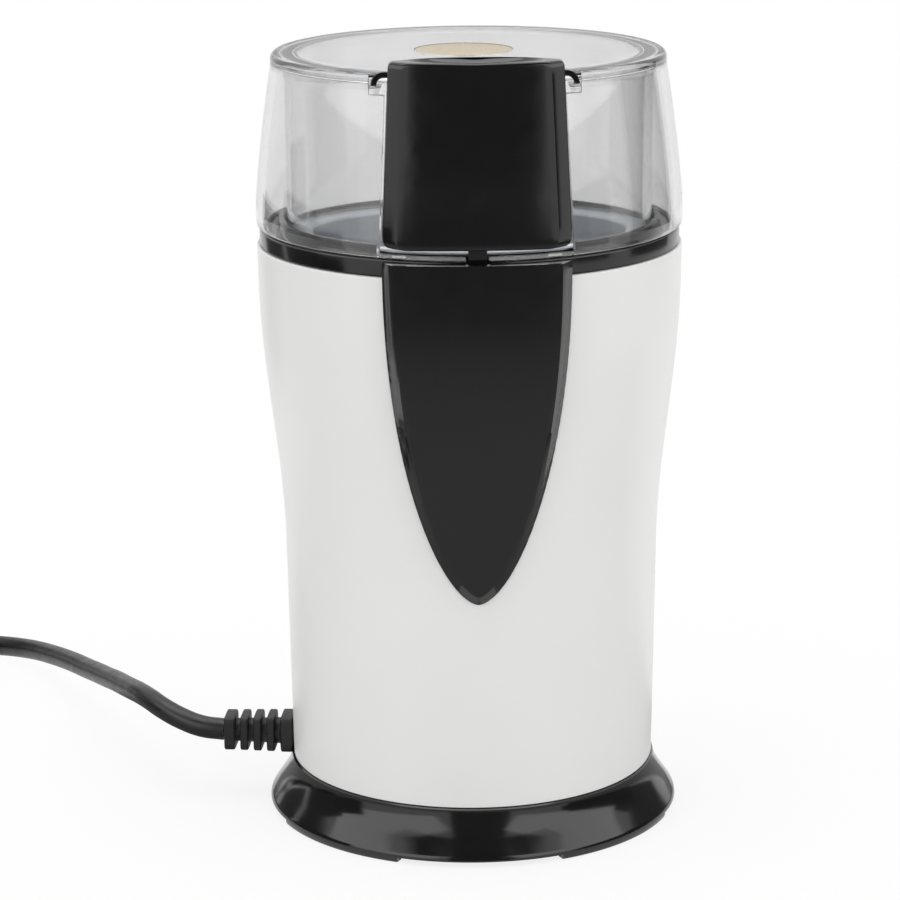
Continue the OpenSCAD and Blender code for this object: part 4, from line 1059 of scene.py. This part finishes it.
def bar_walls(sizes):
    """Hollow front and sides below the cap."""
    levels = [  # height, how much narrower, inset
        (BAR_FOOT - 0.5, 2.4, 0.5), (BAR_FOOT - 0.42, 1.75, 0.3), (BAR_FOOT - 0.2, 1.1, 0.12),
        (BAR_FOOT + 0.3, 0.55, 0.02), (BAR_FOOT + 1, 0.2, 0), (BAR_FOOT + 2, 0, 0),
    ]
    levels += [(z, 0, 0) for z in range(151, 181, 3)]
    # The top ends inside the cap, drawn in, so that no two faces coincide
    levels += [(BAR_CAP + 0.003, 0, 0), (BAR_CAP + 0.02, 0, 0.05), (BAR_CAP + 0.6, 0, 0.05)]
    wall = 1.5
    rings = []
    for z, narrow, inset in levels:
        ends = []
        for line in (bar_face(sizes, z, inset, narrow), bar_face(sizes, z, wall, narrow)):
            wide = line[-1][0]
            rear = -math.sqrt((SKIRT_RADIUS + 0.45) ** 2 - wide * wide)
            ends.append([(-wide, rear)] + line + [(wide, rear)])
        rings.append([(x, y, z) for x, y in ends[0] + ends[1][::-1]])
    return lofted("press_bar_shell", rings)


def bar_cap(sizes):
    """Solid top with a rounded edge and an oval finger dish."""
    top = sizes.bar_top / MM
    centre = Vector((0, DISH_Y))

    def plan(z, inset):
        line = bar_face(sizes, z)
        wide = line[-1][0]
        angle = math.degrees(math.acos(wide / CAP_RADIUS))
        corner = CAP_CENTRE + math.sqrt(CAP_RADIUS ** 2 - wide ** 2)
        rear = arc((0, CAP_CENTRE), CAP_RADIUS, angle, 180 - angle, 24)[1:-1]
        points = [Vector(p) for p in line + [(wide, corner)] + rear + [(-wide, corner)]]
        return [p + (centre - p).normalized() * inset for p in points]

    levels = [(BAR_CAP, 0), (184, 0), (top - 1.4, 0), (top - 1.0, 0.05), (top - 0.65, 0.16),
              (top - 0.35, 0.36), (top - 0.14, 0.66), (top - 0.03, 1.0), (top, 1.4)]
    rings = [[(p.x, p.y, z) for p in plan(z, inset)] for z, inset in levels]
    angles = [math.atan2((p - centre).y / DISH[1], (p - centre).x / DISH[0]) for p in plan(top, 0)]
    # Share of the dish's half sizes, and depth
    for share, drop in ((1.04, 0), (1.0, 0.03), (0.96, 0.14), (0.9, 0.36), (0.78, 0.78), (0.6, 1.22),
                        (0.4, 1.5), (0.2, 1.62), (0.04, 1.65)):
        rings.append([(DISH[0] * share * math.cos(a), centre.y + DISH[1] * share * math.sin(a), top - drop)
                      for a in angles])
    return lofted("bar_cap", rings)


def bar_ears():
    """Arched ear on each side, which rides in the lid's window, and its root."""
    ears = []
    for side in (-1, 1):
        outer, inner = (arc(EAR_CENTRE, radius, 1, 90, 12) for radius in EAR_RADII)
        shape = [(23.1, -1)] + outer + [(17.4, 2.1), (17.4, 0.8)] + inner[::-1] + [(21.8, -1)]
        rings = [[(side * x, y, BAR_CAP + z) for x, z in shape] for y in (-41.1, -39.5)]
        ears.append(soften(lofted("bar_ear", rings), 0.15))
        root = side * 18.25
        ears.append(block((root - 0.75, -46, BAR_CAP - 0.3), (root + 0.75, -39.6, BAR_CAP + 1.2)))
    return ears


def bar_hooks():
    """Hooks that catch under the spring shelf."""
    shape = [(-50.2, 163.2), (-45.4, 163.2), (-45.4, 164.6), (-46.3, 165.85), (-47.9, 165.85),
             (-47.9, 172), (-50.2, 172)]
    return [soften(lofted("bar_hook", [[(side * 6 + x, y, z) for y, z in shape] for x in (-1.5, 1.5)]), 0.2)
            for side in (-1, 1)]


def bar_pin():
    """Interlock pin and the web that carries it."""
    pin = block((-2.1, -49.9, 141.5), (2.1, -47.5, 160), "bar_pin")
    web = block((-2.1, -50.9, BAR_FOOT + 0.3), (2.1, -49.8, 160), "bar_web")
    return [soften(pin, 0.25), web]


class GRINDER_OT_press_bar(bpy.types.Operator):
    """Adds the press bar with its ears, hooks and pin"""

    bl_idname = "grinder.press_bar"
    bl_label = "Press bar"

    def execute(self, context):
        sizes = context.scene.grinder_sizes
        bar = join(bar_walls(sizes), bar_cap(sizes), *bar_ears(), *bar_hooks(), *bar_pin())
        finish(bar, "press_bar", "gloss_black", ["press_bar"], 26)
        return {"FINISHED"}


# ---------------------------------------------------------------- springs and inner parts


def coil_spring(name, foot, radius, wire, height, body, node):
    """One compression spring wound along a helix, with a mesh of its own."""
    turns, steps, travel = 6, 28, 2
    mean, rise = radius - wire / 2, height - wire
    path = [(foot[0] + mean * math.cos(math.tau * k / steps), foot[1] + mean * math.sin(math.tau * k / steps),
             foot[2] + wire / 2 + rise * k / (turns * steps)) for k in range(turns * steps + 1)]
    spring = finish(tube(name, path, wire / 2, 10), body, "bright_steel", [node], 50)
    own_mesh(spring)


class GRINDER_OT_springs(bpy.types.Operator):
    """Adds the coil springs"""

    bl_idname = "grinder.springs"
    bl_label = "Springs"

    def execute(self, context):
        coil_spring("bar_coil_spring", (0, -45.3, 168.05), 2, 0.45, 13.75, "lid", "bar_spring")
        coil_spring("rod_coil_spring", (0, -48.3, 112.05), 1.15, 0.3, 10.1, "body", "plunger_spring")
        return {"FINISHED"}


class GRINDER_OT_inner_parts(bpy.types.Operator):
    """Gives the remaining pieces their finishes"""

    bl_idname = "grinder.inner_parts"
    bl_label = "Inner parts"

    def execute(self, context):
        for entry in frame["record"]["subparts"]:
            node = frame["nodes"][entry["node"]]
            if node.hide_render:
                continue
            node.data.materials.clear()
            node.data.materials.append(materials[entry["material_slot"]])
        return {"FINISHED"}


# ---------------------------------------------------------------- stage


def seen(tree):
    """1 for rays from the camera, a mirror or clear plastic, else 0."""
    path = add_node(tree, "ShaderNodeLightPath")
    both = add_node(tree, "ShaderNodeMath", {"operation": "MAXIMUM"},
                    {0: path.outputs["Is Camera Ray"], 1: path.outputs["Is Glossy Ray"]})
    every = add_node(tree, "ShaderNodeMath", {"operation": "MAXIMUM"},
                     {0: both.outputs["Value"], 1: path.outputs["Is Transmission Ray"]})
    return every.outputs["Value"]


def add_floor():
    """Pale floor that looks white away from the object and keeps a soft shadow."""
    floor = block((-4000, -4000, -1), (4000, 4000, 0), "stage_floor")
    material, tree, paper, place = start_material("pale_paper_floor")
    paper.inputs["Base Color"].default_value = srgb("#EFEFEF")
    paper.inputs["Roughness"].default_value = 0.9
    white = add_node(tree, "ShaderNodeEmission", {"Color": grey(1.0), "Strength": 1.0})
    far = add_node(tree, "ShaderNodeVectorMath", {"operation": "LENGTH"}, {0: place})
    fade = add_node(tree, "ShaderNodeMapRange",
                    {"From Min": 0.06, "From Max": 0.2, "To Min": 0.82, "To Max": 1.0},
                    {"Value": far.outputs["Value"]})
    part = add_node(tree, "ShaderNodeMath", {"operation": "MULTIPLY"},
                    {0: seen(tree), 1: fade.outputs["Result"]})
    mix = add_node(tree, "ShaderNodeMixShader", None,
                   {"Fac": part.outputs["Value"], 1: paper.outputs["BSDF"], 2: white.outputs["Emission"]})
    tree.links.new(mix.outputs["Shader"], tree.nodes["Material Output"].inputs["Surface"])
    floor.data.materials.append(material)


def add_world(scene):
    """White to the eye, a softer grey as a light."""
    world = bpy.data.worlds.new("white_surround")
    scene.world = world
    world.use_nodes = True
    tree = world.node_tree
    strength = add_node(tree, "ShaderNodeMapRange", {"To Min": 0.55, "To Max": 1.0}, {"Value": seen(tree)})
    tree.links.new(strength.outputs["Result"], tree.nodes["Background"].inputs["Strength"])
    tree.nodes["Background"].inputs["Color"].default_value = grey(1.0)


def add_lamp(name, place, aim, width, height, power):
    """Rectangular soft lamp that faces a point."""
    data = bpy.data.lights.new(name, "AREA")
    data.shape, data.size, data.size_y, data.energy = "RECTANGLE", width, height, power
    lamp = bpy.data.objects.new(name, data)
    lamp.location = place
    lamp.rotation_euler = (Vector(aim) - Vector(place)).to_track_quat("-Z", "Y").to_euler()
    bpy.context.scene.collection.objects.link(lamp)


def add_flag(name, azimuth, low, high, shades):
    """Card seen only in polish and clear plastic; its shade changes away from the object."""
    card = block(low, high, name)
    card.data.transform(rotation(azimuth))
    material, tree, cloth, place = start_material(name + "_cloth")
    parts = add_node(tree, "ShaderNodeSeparateXYZ", None, {"Vector": place})
    level = add_node(tree, "ShaderNodeMapRange",
                     {"From Min": -0.2, "From Max": -0.6, "To Min": shades[0], "To Max": shades[1]},
                     {"Value": parts.outputs["Y"]})
    tree.links.new(level.outputs["Result"], cloth.inputs["Base Color"])
    cloth.inputs["Roughness"].default_value = 0.9
    card.data.materials.append(material)
    card.visible_camera = card.visible_diffuse = card.visible_shadow = False


class GRINDER_OT_stage(bpy.types.Operator):
    """Adds the floor, the lamps and the white surroundings"""

    bl_idname = "grinder.stage"
    bl_label = "Stage"

    def execute(self, context):
        add_floor()
        add_world(context.scene)
        for lamp in LAMPS:
            add_lamp(*lamp)
        for flag in FLAGS:
            add_flag(*flag)
        return {"FINISHED"}


# ---------------------------------------------------------------- panel and start


class GRINDER_PT_pieces(bpy.types.Panel):
    """Lists the grinder's pieces"""

    bl_idname = "GRINDER_PT_pieces"
    bl_label = "Spice Grinder"
    bl_space_type = "VIEW_3D"
    bl_region_type = "UI"
    bl_category = "Grinder"

    def draw(self, context):
        for operator in OPERATORS:
            self.layout.operator(operator.bl_idname)
        for group in (context.scene.grinder_sizes, context.scene.grinder_colours):
            box = self.layout.box()
            for name in group.__annotations__:
                box.prop(group, name)


OPERATORS = [
    GRINDER_OT_camera, GRINDER_OT_lead, GRINDER_OT_housing, GRINDER_OT_base, GRINDER_OT_front_panel,
    GRINDER_OT_collar, GRINDER_OT_bowl, GRINDER_OT_blade, GRINDER_OT_lid, GRINDER_OT_press_bar,
    GRINDER_OT_springs, GRINDER_OT_inner_parts, GRINDER_OT_stage,
]
CLASSES = [GrinderSizes, GrinderColours, *OPERATORS, GRINDER_PT_pieces]


def register():
    for item in CLASSES:
        bpy.utils.register_class(item)
    bpy.types.Scene.grinder_sizes = bpy.props.PointerProperty(type=GrinderSizes)
    bpy.types.Scene.grinder_colours = bpy.props.PointerProperty(type=GrinderColours)


def unregister():
    del bpy.types.Scene.grinder_sizes
    del bpy.types.Scene.grinder_colours
    for item in reversed(CLASSES):
        bpy.utils.unregister_class(item)


def main():
    register()
    materials.update(make_materials(bpy.context.scene.grinder_colours))
    for operator in OPERATORS:
        group, name = operator.bl_idname.split(".")
        getattr(getattr(bpy.ops, group), name)()
    bpy.context.view_layer.update()


if __name__ == "__main__":
    main()
